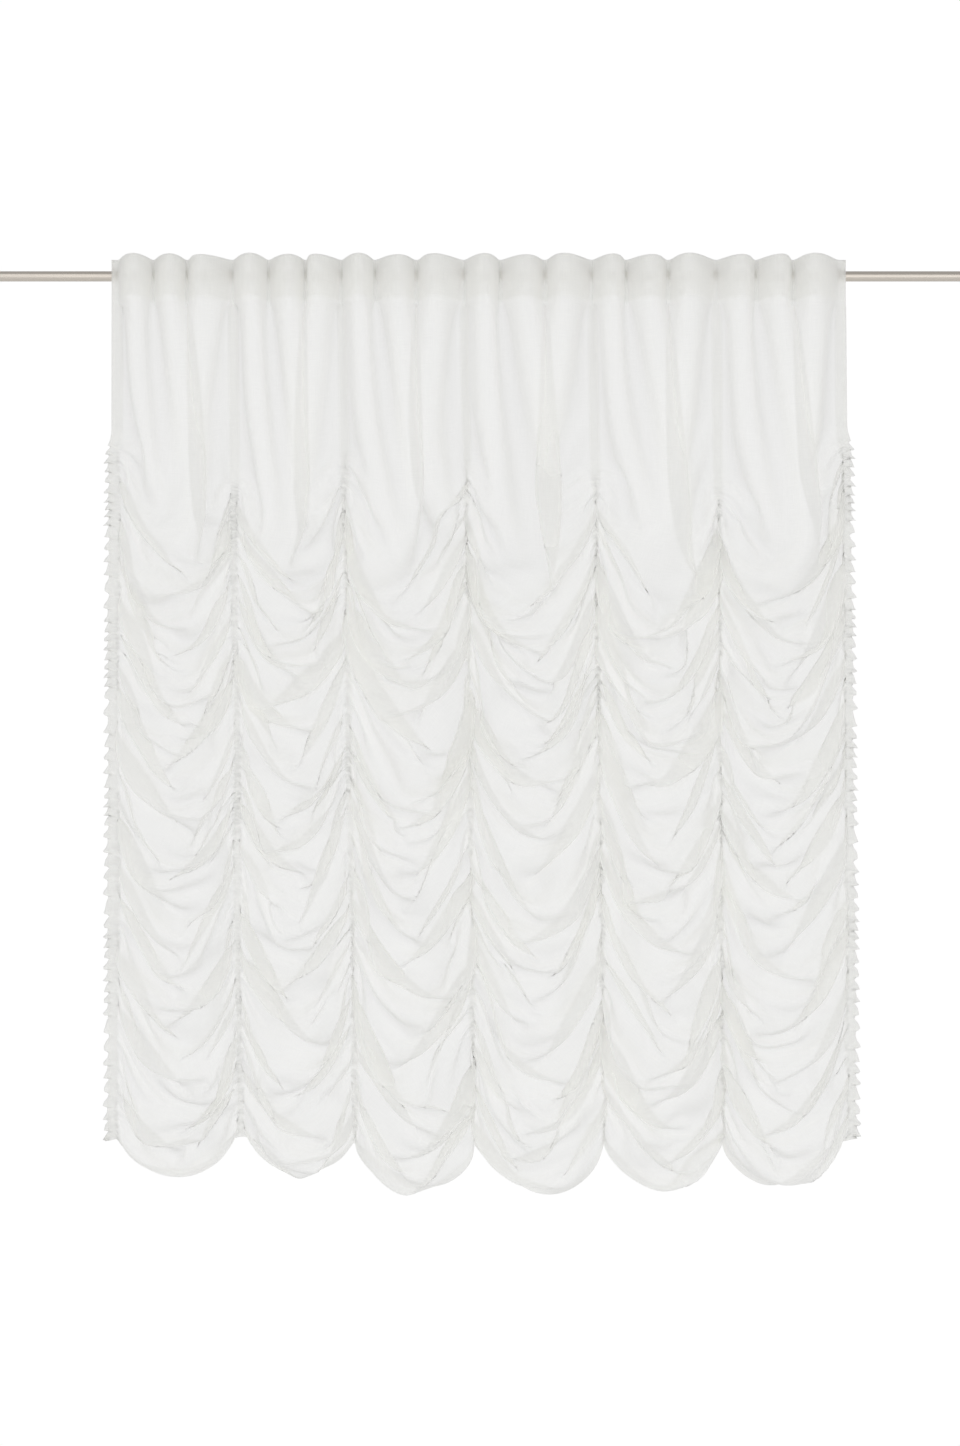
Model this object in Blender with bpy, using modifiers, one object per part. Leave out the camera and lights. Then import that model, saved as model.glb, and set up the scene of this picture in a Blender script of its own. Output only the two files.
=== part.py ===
"""A ruched curtain of thin white cloth, hanging by tape loops from a straight metal rod.

Metres, +Z up. The origin is the middle of the rod, on its axis. X runs along the rod, the
front of the curtain faces -Y, and the cloth hangs down from the rod.

The cloth is one wide, long panel. A heading tape with woven loops is sewn along its top
edge, and seven narrow gathering tapes are sewn down its back. The cords in the narrow tapes
are drawn up, so the cloth between them falls in six columns of swags.
"""

import math

import bmesh
import bpy
from mathutils import Matrix, Vector

# Rod
ROD_RADIUS = 0.0095
ROD_LENGTH = 1.90
ROD_SIDES = 24

# Thicknesses and running gaps
CLOTH_THICKNESS = 0.002
TAPE_THICKNESS = 0.001
SEWN_GAP = 0.0003
GATHERED_GAP = 0.0006
ROD_CLEARANCE = 0.002
LOOP_CLEARANCE = 0.0004
LOOP_ROOT_GAP = 0.0006

# Heading: the band above the line of stitches, and its waves
HEADING_TOP = 0.028
HEADING_BOTTOM = -0.055
WAVE_DEPTH = 0.050
WAVE_FLATNESS = 1.5
WAVE_LEFT_AT_SWAG = 0.45

# Plane of the seams, far enough forward for the heading tape to clear the rod
SEAM_Y = -(ROD_RADIUS + ROD_CLEARANCE + TAPE_THICKNESS + SEWN_GAP + CLOTH_THICKNESS / 2)

# Gathered part: folds in each swag, from the first swag down to the hem
FOLDS = 14
FOLD_FRONT = 0.047
FOLD_BACK = 0.030
HEM_LOW = -1.737
SEAM_PUCKER = 0.0035
STITCHED_SHARE = 0.055
FOLD_SHARPNESS = 1.35
HEM_ROUNDNESS = 2.3
ROUNDED_SHARE = 0.25
SAG_POWER = 0.92
SWELL_POWER = 0.65
HEM_EASE = 0.55
EASED_SHARE = 1 / 3

# Unevenness of the folds: two waves of a size, turning with the fold and with the swag, and
# how much they move the lowest place sideways, the sag and the depth
UNEVEN_WAVES = ((0.6, 2.1, 1.9), (0.4, 3.7, -2.3))
UNEVEN_PLACE = 0.05
UNEVEN_SAG = 0.010
UNEVEN_DEPTH = 0.22
SAG_PHASE = 3
DEPTH_PHASE = 5

# Free edges beyond the outer tapes
EDGE_REACH = 0.011
EDGE_RUFFLE = 0.007
RUFFLE_TURN = 2.5
RUFFLE_DEPTH_TURN = 1.7

# Narrow gathering tapes
GATHER_TAPE_WIDTH = 0.020
GATHER_TAPE_TOP = HEADING_BOTTOM - 0.002
GATHER_TAPE_END = 0.012
GATHER_TAPE_ROWS = 24

# Heading tape and its loops
HEADING_TAPE_TOP = HEADING_TOP - 0.004
HEADING_TAPE_BOTTOM = HEADING_BOTTOM + 0.003
LOOP_WIDTH = 0.010
LOOP_ARC_STEPS = 6
# Strip numbers of a swag that meet its two inner loops
LOOP_STRIPS = (2.5, 5.5)

# Seams from left to right: place at the top, place at the hem, height where the
# gathering starts, height of the hem
SEAM_COLUMNS = ("x_top", "x_hem", "gather_start", "hem")
SEAM_ROWS = (
    (-0.688, -0.690, -0.324, -1.640),
    (-0.470, -0.454, -0.395, -1.635),
    (-0.263, -0.234, -0.365, -1.648),
    (-0.030, -0.011, -0.375, -1.650),
    (0.213, 0.236, -0.381, -1.641),
    (0.449, 0.460, -0.405, -1.644),
    (0.683, 0.698, -0.314, -1.640),
)
SEAMS = [dict(zip(SEAM_COLUMNS, row)) for row in SEAM_ROWS]

# Swags from left to right: shares of the width where the two tape loops between the seams
# sit, share where the folds are lowest at the top and at the hem, height of the first low
# fold, and how deep the folds are beside the others
SWAG_COLUMNS = ("loop_a", "loop_b", "low_top", "low_hem", "first_low", "fullness")
SWAG_ROWS = (
    (0.31, 0.60, 0.64, 0.50, -0.573, 1.00),
    (0.33, 0.67, 0.57, 0.45, -0.672, 0.92),
    (0.27, 0.61, 0.52, 0.56, -0.660, 1.05),
    (0.28, 0.63, 0.55, 0.60, -0.640, 1.00),
    (0.27, 0.61, 0.57, 0.43, -0.645, 0.95),
    (0.32, 0.62, 0.46, 0.42, -0.610, 1.06),
)
SWAGS = [dict(zip(SWAG_COLUMNS, row)) for row in SWAG_ROWS]

# Sampling of the cloth panel. Across: strips in each swag, by share of its width, and one
# strip beyond each outer seam. Down: rows of the heading, of the plain drop by share of its
# length, and of the folds by share of a fold.
STRIP_SHARES = (0.0, STITCHED_SHARE, 0.20, 0.35, 0.50, 0.65, 0.80, 1 - STITCHED_SHARE, 1.0)
STRIPS = len(STRIP_SHARES) - 1
PANEL_STRIPS = STRIPS * len(SWAGS) + 2
HEADING_HEIGHTS = (HEADING_TOP, 0.5 * (HEADING_TOP + HEADING_BOTTOM), HEADING_BOTTOM)
DROP_SHARES = (0.18, 0.36, 0.54, 0.70, 0.82, 0.92)
FOLD_SHARES = (0.0, 0.42, 0.78)
FIRST_LIP = FOLD_SHARES[-1]
# Share of the drop where the strips have left the loops and the cloth starts to fold
BLEND_SHARE = 0.5
# Depth of a fold by share of its height: back in the valley, out to the lip, and under
FOLD_SECTION = ((0.0, 0.0), (0.42, 0.66), (0.78, 1.0), (1.0, 0.0))
# Rows from the top that have twice as many strips
FINE_DROP_ROWS = 3
FINE_ROWS = len(HEADING_HEIGHTS) - 1 + FINE_DROP_ROWS
SHARP_ANGLE = 40

# Colour, roughness and metallic share of each finish
FINISHES = {
    "cloth": ((0.86, 0.86, 0.84, 1.0), 0.85, 0.0),
    "tape": ((0.80, 0.80, 0.78, 1.0), 0.80, 0.0),
    "metal": ((0.42, 0.39, 0.36, 1.0), 0.35, 1.0),
}


def smooth(value):
    """Ease a value from 0 to 1, held at both ends."""
    held = min(1.0, max(0.0, value))
    return held * held * (3.0 - 2.0 * held)


def mix(start, end, share):
    """Value at a share of the way from start to end."""
    return start + (end - start) * share


def uneven(swag, turn):
    """Slow, repeatable unevenness between -1 and 1 for a swag and a place down it."""
    return sum(
        size * math.sin(turning * turn + stepping * swag)
        for size, turning, stepping in UNEVEN_WAVES
    )


def section_depth(share):
    """Depth of a fold's section at a share of its height."""
    for (low, low_depth), (high, high_depth) in zip(FOLD_SECTION, FOLD_SECTION[1:]):
        if share <= high:
            return mix(low_depth, high_depth, (share - low) / (high - low))
    return 0.0


def seam_height(seam, turn):
    """Height of a seam where fold number turn is gathered into it."""
    return mix(seam["gather_start"], seam["hem"], turn / FOLDS)


def seam_x(seam, height):
    """Sideways place of a seam at a height."""
    share = (height - HEADING_TOP) / (seam["hem"] - HEADING_TOP)
    return mix(seam["x_top"], seam["x_hem"], min(1.0, max(0.0, share)))


def loop_places():
    """Sideways places of all tape loops, from left to right."""
    places = []
    for index, swag in enumerate(SWAGS):
        left = SEAMS[index]["x_top"]
        right = SEAMS[index + 1]["x_top"]
        places += [mix(left, right, swag["loop_a"]), mix(left, right, swag["loop_b"]), right]
    return places


WAVE_ENDS = [SEAMS[0]["x_top"]] + loop_places()


def heading_wave(x):
    """How far forward the heading stands between its loops, from 0 to 1."""
    for left, right in zip(WAVE_ENDS, WAVE_ENDS[1:]):
        if left <= x <= right:
            turn = 2.0 * math.pi * (x - left) / (right - left)
            return (0.5 - 0.5 * math.cos(turn)) ** WAVE_FLATNESS
    return 0.0


def lower_share(strip):
    """Share of a swag's width at a strip number in the gathered part."""
    whole = min(int(strip), STRIPS - 1)
    return mix(STRIP_SHARES[whole], STRIP_SHARES[whole + 1], strip - whole)


def upper_share(swag, strip):
    """Share of a swag's width at a strip number in the heading, with a strip at each loop."""
    first, second = LOOP_STRIPS
    stops = ((0.0, 0.0), (first, swag["loop_a"]), (second, swag["loop_b"]), (STRIPS, 1.0))
    for (low, low_share), (high, high_share) in zip(stops, stops[1:]):
        if strip <= high:
            return mix(low_share, high_share, (strip - low) / (high - low))
    return 1.0


def sag_shape(share, low, sharpness):
    """Sag of a fold line across a swag: 0 at both seams and 1 at its lowest point."""
    side = (share - low) / (low if share < low else 1.0 - low)
    return 1.0 - abs(side) ** sharpness


def swag_point(index, share, turn):
    """A point of the gathered cloth.

    index is the swag, share the place across it, and turn counts folds down from the first.
    """
    swag = SWAGS[index]
    left = SEAMS[index]
    right = SEAMS[index + 1]
    along = turn / FOLDS
    held = mix(seam_height(left, turn), seam_height(right, turn), share)
    low = mix(swag["low_top"], swag["low_hem"], along) + UNEVEN_PLACE * uneven(index, turn)
    low_height = mix(swag["first_low"], HEM_LOW, along ** SAG_POWER)
    settled = smooth((1.0 - along) / EASED_SHARE)
    low_height += UNEVEN_SAG * uneven(index + SAG_PHASE, turn) * settled
    drop = mix(seam_height(left, turn), seam_height(right, turn), low) - low_height
    sharpness = mix(HEM_ROUNDNESS, FOLD_SHARPNESS, smooth((1.0 - along) / ROUNDED_SHARE))
    height = held - drop * sag_shape(share, low, sharpness)
    inside = (share - STITCHED_SHARE) / (1.0 - 2.0 * STITCHED_SHARE)
    swell = math.sin(math.pi * min(1.0, max(0.0, inside))) ** SWELL_POWER
    fold = section_depth(turn % 1.0)
    front = FOLD_FRONT * swag["fullness"]
    front *= 1.0 + UNEVEN_DEPTH * uneven(index + DEPTH_PHASE, turn // 1.0)
    hem_ease = mix(HEM_EASE, 1.0, settled)
    depth = swell * hem_ease * (front * fold - FOLD_BACK * (1.0 - fold))
    y = SEAM_Y - depth - SEAM_PUCKER * fold * (1.0 - swell)
    x = mix(seam_x(left, held), seam_x(right, held), share)
    return Vector((x, y, height))


def heading_point(index, share, height):
    """A point of the heading band, whose section is the same at every height."""
    x = mix(SEAMS[index]["x_top"], SEAMS[index + 1]["x_top"], share)
    return Vector((x, SEAM_Y - WAVE_DEPTH * heading_wave(x), height))


def drop_point(index, strip, share_down):
    """A point of the plain cloth between the heading and the first swag."""
    swag = SWAGS[index]
    moved = smooth(share_down / BLEND_SHARE)
    across = mix(upper_share(swag, strip), lower_share(strip), moved)
    first = swag_point(index, across, FIRST_LIP)
    height = mix(HEADING_BOTTOM, first.z, share_down)
    x = mix(seam_x(SEAMS[index], height), seam_x(SEAMS[index + 1], height), across)
    straight_x = mix(SEAMS[index]["x_top"], SEAMS[index + 1]["x_top"], across)
    wave = WAVE_DEPTH * heading_wave(straight_x) * mix(1.0, WAVE_LEFT_AT_SWAG, share_down)
    folding = smooth((share_down - BLEND_SHARE) / (1.0 - BLEND_SHARE))
    y = mix(SEAM_Y - wave, first.y, folding)
    return Vector((x, y, height))


def panel_rows():
    """Rows of the panel from the top: each is a zone and a place down that zone."""
    rows = [("heading", height) for height in HEADING_HEIGHTS]
    rows += [("drop", share) for share in DROP_SHARES]
    turns = [fold + share for fold in range(FOLDS) for share in FOLD_SHARES]
    rows += [("folds", turn) for turn in turns if turn >= FIRST_LIP]
    return rows + [("folds", float(FOLDS))]


def hung_point(across, zone, place):
    """Place of the panel's mesh point at a strip number across and a row of a zone."""
    inner = min(float(PANEL_STRIPS - 2), max(0.0, across - 1.0))
    index = min(int(inner / STRIPS), len(SWAGS) - 1)
    strip = inner - index * STRIPS
    if zone == "heading":
        point = heading_point(index, upper_share(SWAGS[index], strip), place)
    elif zone == "drop":
        point = drop_point(index, strip, place)
    else:
        point = swag_point(index, lower_share(strip), place)
    outside = across - 1.0 - inner
    if outside:
        ruffle = 0.0
        if zone == "folds":
            ruffle = EDGE_RUFFLE * math.sin(RUFFLE_TURN * FOLDS * place)
            point.y -= EDGE_RUFFLE * math.cos(RUFFLE_DEPTH_TURN * FOLDS * place) ** 2
        point.x += outside * (EDGE_REACH + ruffle)
    return point


def new_object(name, mesh, collection, material):
    """Link a mesh as a named object with its material."""
    item = bpy.data.objects.new(name, mesh)
    collection.objects.link(item)
    item.data.materials.append(material)
    return item


def new_material(name, finish):
    """Make a Principled material of one finish."""
    colour, roughness, metallic = FINISHES[finish]
    material = bpy.data.materials.new(name)
    material.use_nodes = True
    shader = material.node_tree.nodes["Principled BSDF"]
    shader.inputs["Base Color"].default_value = colour
    shader.inputs["Roughness"].default_value = roughness
    shader.inputs["Metallic"].default_value = metallic
    return material


def give_thickness(item, thickness):
    """Turn an open sheet into a closed one, half its thickness to each side."""
    solid = item.modifiers.new("thickness", "SOLIDIFY")
    solid.thickness = thickness
    solid.offset = 0.0
    solid.use_rim = True


def sheet_mesh(name, strips, rows):
    """An open grid in sheet coordinates: x counts strips, y counts rows from the top."""
    bm = bmesh.new()
    placed = Matrix.Translation((strips / 2, rows / 2, 0)) @ Matrix.Diagonal((strips, rows, 1, 1))
    bmesh.ops.create_grid(bm, x_segments=strips, y_segments=rows, size=0.5, matrix=placed)
    return bm, bpy.data.meshes.new(name)


def finish_mesh(bm, mesh):
    """Write a bmesh to its mesh with one facing all over, and free it."""
    bmesh.ops.recalc_face_normals(bm, faces=bm.faces)
    bm.to_mesh(mesh)
    bm.free()
    mesh.shade_smooth()


def build_cloth(collection, material):
    """The cloth panel: heading band, plain drop and six columns of folds in one sheet."""
    rows = panel_rows()
    bm, mesh = sheet_mesh("cloth_panel", PANEL_STRIPS, len(rows) - 1)
    fine = [
        edge
        for edge in bm.edges
        if abs(edge.verts[0].co.y - edge.verts[1].co.y) < 0.1
        and edge.verts[0].co.y < FINE_ROWS + 0.1
    ]
    bmesh.ops.subdivide_edges(bm, edges=fine, cuts=1, use_grid_fill=True)
    for vertex in bm.verts:
        zone, place = rows[round(vertex.co.y)]
        vertex.co = hung_point(vertex.co.x, zone, place)
    finish_mesh(bm, mesh)
    item = new_object("cloth_panel", mesh, collection, material)
    give_thickness(item, CLOTH_THICKNESS)
    return item


def parallel_section(points, distance):
    """Move a section's corners to run parallel to it, at a distance to the back."""
    moved = []
    for number, point in enumerate(points):
        before = points[max(0, number - 1)]
        after = points[min(len(points) - 1, number + 1)]
        first = (point - before) if number else (after - point)
        second = (after - point) if number < len(points) - 1 else first
        normals = [Vector((-run.y, run.x, 0)).normalized() for run in (first, second)]
        bisector = (normals[0] + normals[1]).normalized()
        moved.append(point + bisector * (distance / bisector.dot(normals[0])))
    return moved


def build_heading_tape(collection, material):
    """The heading tape, sewn flat against the back of the heading band."""
    strips = 2 * PANEL_STRIPS
    section = [hung_point(number / 2, "heading", 0.0) for number in range(strips + 1)]
    back = (CLOTH_THICKNESS + TAPE_THICKNESS) / 2 + SEWN_GAP
    section = parallel_section(section, back)
    bm, mesh = sheet_mesh("heading_tape", strips, 2)
    for vertex in bm.verts:
        place = section[round(vertex.co.x)]
        height = mix(HEADING_TAPE_TOP, HEADING_TAPE_BOTTOM, vertex.co.y / 2)
        vertex.co = Vector((place.x, place.y, height))
    finish_mesh(bm, mesh)
    item = new_object("heading_tape", mesh, collection, material)
    give_thickness(item, TAPE_THICKNESS)
    return item


def loop_section():
    """Section of a loop in Y and Z: back over the rod, round it and forward under it."""
    radius = ROD_RADIUS + LOOP_CLEARANCE + TAPE_THICKNESS / 2
    tape_back = SEAM_Y + CLOTH_THICKNESS / 2 + SEWN_GAP + TAPE_THICKNESS
    front = tape_back + LOOP_ROOT_GAP
    points = [(front, radius)]
    for step in range(LOOP_ARC_STEPS + 1):
        angle = math.pi * (0.5 - step / LOOP_ARC_STEPS)
        points.append((radius * math.cos(angle), radius * math.sin(angle)))
    points.append((front, -radius))
    return points


def build_loop(number, x, collection, material):
    """One woven loop of the heading tape, round the rod."""
    section = loop_section()
    name = f"tape_loop_{number:02d}"
    bm, mesh = sheet_mesh(name, 1, len(section) - 1)
    for vertex in bm.verts:
        y, z = section[round(vertex.co.y)]
        vertex.co = Vector((x + LOOP_WIDTH * (vertex.co.x - 0.5), y, z))
    finish_mesh(bm, mesh)
    item = new_object(name, mesh, collection, material)
    give_thickness(item, TAPE_THICKNESS)
    return item


def build_gather_tape(number, seam, collection, material):
    """One narrow gathering tape down the back of a seam."""
    name = f"gather_tape_{number}"
    bottom = seam["hem"] + GATHER_TAPE_END
    y = SEAM_Y + (CLOTH_THICKNESS + TAPE_THICKNESS) / 2 + GATHERED_GAP
    bm, mesh = sheet_mesh(name, 1, GATHER_TAPE_ROWS)
    for vertex in bm.verts:
        height = mix(GATHER_TAPE_TOP, bottom, vertex.co.y / GATHER_TAPE_ROWS)
        side = GATHER_TAPE_WIDTH * (vertex.co.x - 0.5)
        vertex.co = Vector((seam_x(seam, height) + side, y, height))
    finish_mesh(bm, mesh)
    item = new_object(name, mesh, collection, material)
    give_thickness(item, TAPE_THICKNESS)
    return item


def build_rod(collection, material):
    """The straight metal rod, with a flat face at each end."""
    bm = bmesh.new()
    bmesh.ops.create_cone(
        bm,
        cap_ends=True,
        segments=ROD_SIDES,
        radius1=ROD_RADIUS,
        radius2=ROD_RADIUS,
        depth=ROD_LENGTH,
        matrix=Matrix.Rotation(math.pi / 2, 4, "Y"),
    )
    mesh = bpy.data.meshes.new("rod")
    bm.to_mesh(mesh)
    bm.free()
    mesh.shade_smooth()
    mesh.set_sharp_from_angle(angle=math.radians(SHARP_ANGLE))
    return new_object("rod", mesh, collection, material)


def main():
    """Clear the file and build the curtain on its rod."""
    for item in list(bpy.data.objects):
        bpy.data.objects.remove(item)
    collection = bpy.data.collections.new("ruched_curtain")
    bpy.context.scene.collection.children.link(collection)
    cloth = new_material("white_cloth", "cloth")
    tape = new_material("white_tape", "tape")
    metal = new_material("brushed_metal", "metal")
    build_rod(collection, metal)
    build_cloth(collection, cloth)
    build_heading_tape(collection, tape)
    for number, x in enumerate(loop_places(), start=1):
        build_loop(number, x, collection, tape)
    for number, seam in enumerate(SEAMS, start=1):
        build_gather_tape(number, seam, collection, tape)


main()
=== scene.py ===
"""Looks of a ruched sheer curtain hanging by tape loops from a straight metal rod.

Metres, +Z up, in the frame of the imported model: the origin is the middle of the rod, X runs
along it, and the front of the curtain faces -Y.

The voile is one cut of cloth, laid out as a grid of its own flat width and length. Its
heading is held by the rod and its seven seams are held at their gathered length. What lies
between hangs under its weight until it settles into swags. Its free side edges stand out in
small flutes. Tapes and stitches follow the settled cloth.
"""

from __future__ import annotations

import logging
import math
from dataclasses import dataclass, replace
from enum import Enum
from functools import cache
from typing import Sequence

import bmesh
import bpy
import numpy as np
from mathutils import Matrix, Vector

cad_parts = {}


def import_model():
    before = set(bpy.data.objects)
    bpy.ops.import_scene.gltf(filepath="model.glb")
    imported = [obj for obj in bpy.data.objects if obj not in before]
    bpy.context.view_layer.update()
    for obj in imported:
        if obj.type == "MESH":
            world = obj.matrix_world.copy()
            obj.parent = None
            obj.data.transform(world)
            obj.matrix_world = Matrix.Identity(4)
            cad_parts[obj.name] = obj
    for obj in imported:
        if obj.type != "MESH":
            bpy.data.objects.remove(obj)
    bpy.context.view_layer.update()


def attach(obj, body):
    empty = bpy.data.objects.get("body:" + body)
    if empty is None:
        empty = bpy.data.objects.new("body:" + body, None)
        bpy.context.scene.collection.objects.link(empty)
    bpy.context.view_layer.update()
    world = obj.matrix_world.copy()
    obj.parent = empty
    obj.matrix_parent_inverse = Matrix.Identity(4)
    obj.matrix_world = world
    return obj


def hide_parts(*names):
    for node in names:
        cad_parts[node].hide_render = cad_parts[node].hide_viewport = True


LOG = logging.getLogger("curtain")


class Side(Enum):
    """A side of the cloth, as a sign along its back-facing normal."""

    FRONT = -1
    BACK = 1


class Slot(Enum):
    """Material slots of the record."""

    CLOTH = "cloth"
    TAPE = "tape"
    METAL = "metal"


def smooth(value: float) -> float:
    """Ease a value from 0 to 1, held at both ends."""
    held = min(1.0, max(0.0, value))
    return held * held * (3.0 - 2.0 * held)


def mix(start: float, end: float, share: float) -> float:
    """Value at a share of the way from start to end."""
    return start + (end - start) * share


def wave(turn: float) -> float:
    """A wave between 0 and 1 that starts at 0."""
    return 0.5 - 0.5 * math.cos(turn)


@dataclass(frozen=True)
class Waver:
    """A wave that makes a size uneven along the cloth and from one seam or swag to the next.

    Attributes:
        size: Half its height.
        along: How fast it turns along the cloth.
        each: How far it turns from one seam, wave or swag to the next.
        start: Where it starts.
    """

    size: float
    along: float = 0.0
    each: float = 1.0
    start: float = 0.0

    def at(self, place: float, number: float) -> float:
        """Its value at a place along the cloth, for a seam, wave or swag of this number."""
        return self.size * math.sin(self.along * place + self.each * number + self.start)


@dataclass(frozen=True)
class Seam:
    """One gathered seam, held by a narrow tape.

    Attributes:
        x_top: Sideways place at the heading.
        x_hem: Sideways place at the hem.
        gather_start: Height where the gathering starts.
        hem: Height of the hem at the seam.
        pucker_pitch: Flat length of one pucker.
    """

    x_top: float
    x_hem: float
    gather_start: float
    hem: float
    pucker_pitch: float

    def x_at(self, height: float, top: float) -> float:
        """Sideways place at a height, for a heading that starts at top."""
        share = (height - top) / (self.hem - top)
        return mix(self.x_top, self.x_hem, min(1.0, max(0.0, share)))


@dataclass(frozen=True)
class Swag:
    """One column of swags between two seams.

    Attributes:
        loop_a: Share of the width at the first loop between the seams.
        loop_b: Share of the width at the second loop.
        low_top: Share of the width where the first fold hangs lowest.
        low_hem: Share of the width where the hem hangs lowest.
        first_low: Height of the first low fold.
    """

    loop_a: float
    loop_b: float
    low_top: float
    low_hem: float
    first_low: float


SEAMS = (
    Seam(-0.688, -0.690, -0.324, -1.640, 0.043),
    Seam(-0.470, -0.454, -0.395, -1.635, 0.036),
    Seam(-0.263, -0.234, -0.365, -1.648, 0.048),
    Seam(-0.030, -0.011, -0.375, -1.650, 0.038),
    Seam(0.213, 0.236, -0.381, -1.641, 0.035),
    Seam(0.449, 0.460, -0.405, -1.644, 0.029),
    Seam(0.683, 0.698, -0.314, -1.640, 0.042),
)
SWAGS = (
    Swag(0.31, 0.60, 0.64, 0.50, -0.573),
    Swag(0.33, 0.67, 0.57, 0.45, -0.672),
    Swag(0.27, 0.61, 0.52, 0.56, -0.660),
    Swag(0.28, 0.63, 0.55, 0.60, -0.640),
    Swag(0.27, 0.61, 0.57, 0.43, -0.645),
    Swag(0.32, 0.62, 0.46, 0.42, -0.610),
)

# How uneven the waves of the heading, the gathers, the puckers and the folds are.
WAVE_DEPTH_WAVER = Waver(0.12, each=2.3, start=0.7)
WAVE_LEAN_WAVER = Waver(1.0, each=2.1, start=0.4)
GATHER_WAVERS = (Waver(0.010, 9.0 * math.pi, 1.3), Waver(0.006, 23.0, 2.1))
PUCKER_WAVERS = (Waver(1.6, 11.0), Waver(0.9, 29.0, each=0.0))
PUCKER_DEPTH_WAVER = Waver(0.35, 7.0)
DRAWN_IN_WAVER = Waver(0.5, 5.0, 2.0)
SEAM_WAVER = Waver(0.0016, 1.7)
FOLD_WAVERS = (Waver(0.6, 2.1, 1.9), Waver(0.4, 3.7, -2.3))


@dataclass(frozen=True)
class HangingSizes:
    """Sizes of the hung curtain that the cloth, the tapes and the rod share.

    Attributes:
        rod_radius: Radius of the rod.
        rod_length: Length of the rod.
        heading_top: Height of the top edge.
        heading_bottom: Height of the foot of the heading band.
        wave_depth: How far a wave of the heading stands forward.
        wave_flatness: How narrow the front of a wave is.
        wave_widening: How much wider a wave is in front, in the band.
        wave_lean: Most that a wave leans sideways, in the band.
        drop_widening: How much wider a wave is in front, below the band.
        drop_lean: Most that a wave leans sideways, below the band.
        wave_left_at_swag: Share of a wave's depth that is left at the first swag.
        seam_y: Depth of the plane in which the seams lie.
        fold_front: How far a fold stands in front of that plane.
        fold_back: How far the cloth between two folds lies behind it.
        hem_low: Lowest height of the hem.
        folds: Number of folds down each column of swags.
        first_lip: Place of the first fold's lip, as a share of a fold.
        lip_share: Share of a fold's height that runs out to its lip.
        edge_reach: How far the plain side edges stand beyond the outer seams.
        ruffled_reach: How far they stand out where the seams are gathered.
        edge_ruffle: How far the flutes of the side edges stand forward.
        edge_sway: How far they stand in and out.
        edge_droop: How far they stand up and down.
        edge_slack: How far the cloth may hang beyond an outer seam.
        front_limit: Foremost depth of the cloth.
        back_limit: Hindmost depth of the cloth.
    """

    rod_radius: float = 0.0095
    rod_length: float = 1.90
    heading_top: float = 0.028
    heading_bottom: float = -0.055
    wave_depth: float = 0.048
    wave_flatness: float = 1.1
    wave_widening: float = 0.006
    wave_lean: float = 0.011
    drop_widening: float = 0.015
    drop_lean: float = 0.045
    wave_left_at_swag: float = 0.45
    seam_y: float = -0.0138
    fold_front: float = 0.047
    fold_back: float = 0.030
    hem_low: float = -1.737
    folds: int = 15
    first_lip: float = 0.78
    lip_share: float = 0.74
    edge_reach: float = 0.012
    ruffled_reach: float = 0.017
    edge_ruffle: float = 0.012
    edge_sway: float = 0.005
    edge_droop: float = 0.004
    edge_slack: float = 0.006
    front_limit: float = -0.080
    back_limit: float = 0.027

    @property
    def heading_depth(self) -> float:
        """Height of the heading band."""
        return self.heading_top - self.heading_bottom

    def loop_places(self) -> list[float]:
        """Sideways places of the tape loops, from left to right.

        Returns:
            One place for each loop.
        """
        places = []
        for left, right, swag in zip(SEAMS, SEAMS[1:], SWAGS):
            places.append(mix(left.x_top, right.x_top, swag.loop_a))
            places.append(mix(left.x_top, right.x_top, swag.loop_b))
            places.append(right.x_top)
        return places

    def heading_wave(self, x: float, drooping: float = 0.0) -> tuple[float, float]:
        """The heading's wave between two loops, wider in front than at its foot.

        Args:
            x: Place along the rod, if the cloth were spread evenly.
            drooping: How far the wave has fallen over sideways, from 0 to 1.

        Returns:
            How far the cloth stands aside of that place, and how far forward.
        """
        ends = [SEAMS[0].x_top] + self.loop_places()
        for number, (left, right) in enumerate(zip(ends, ends[1:])):
            if left <= x <= right:
                turn = 2.0 * math.pi * (x - left) / (right - left)
                swell = wave(turn) ** self.wave_flatness
                depth = self.wave_depth * (1.0 + WAVE_DEPTH_WAVER.at(0.0, number))
                lean = mix(self.wave_lean, self.drop_lean, drooping)
                lean *= WAVE_LEAN_WAVER.at(0.0, number)
                widening = mix(self.wave_widening, self.drop_widening, drooping)
                return lean * swell - widening * math.sin(turn), depth * swell
        return 0.0, 0.0


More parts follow.
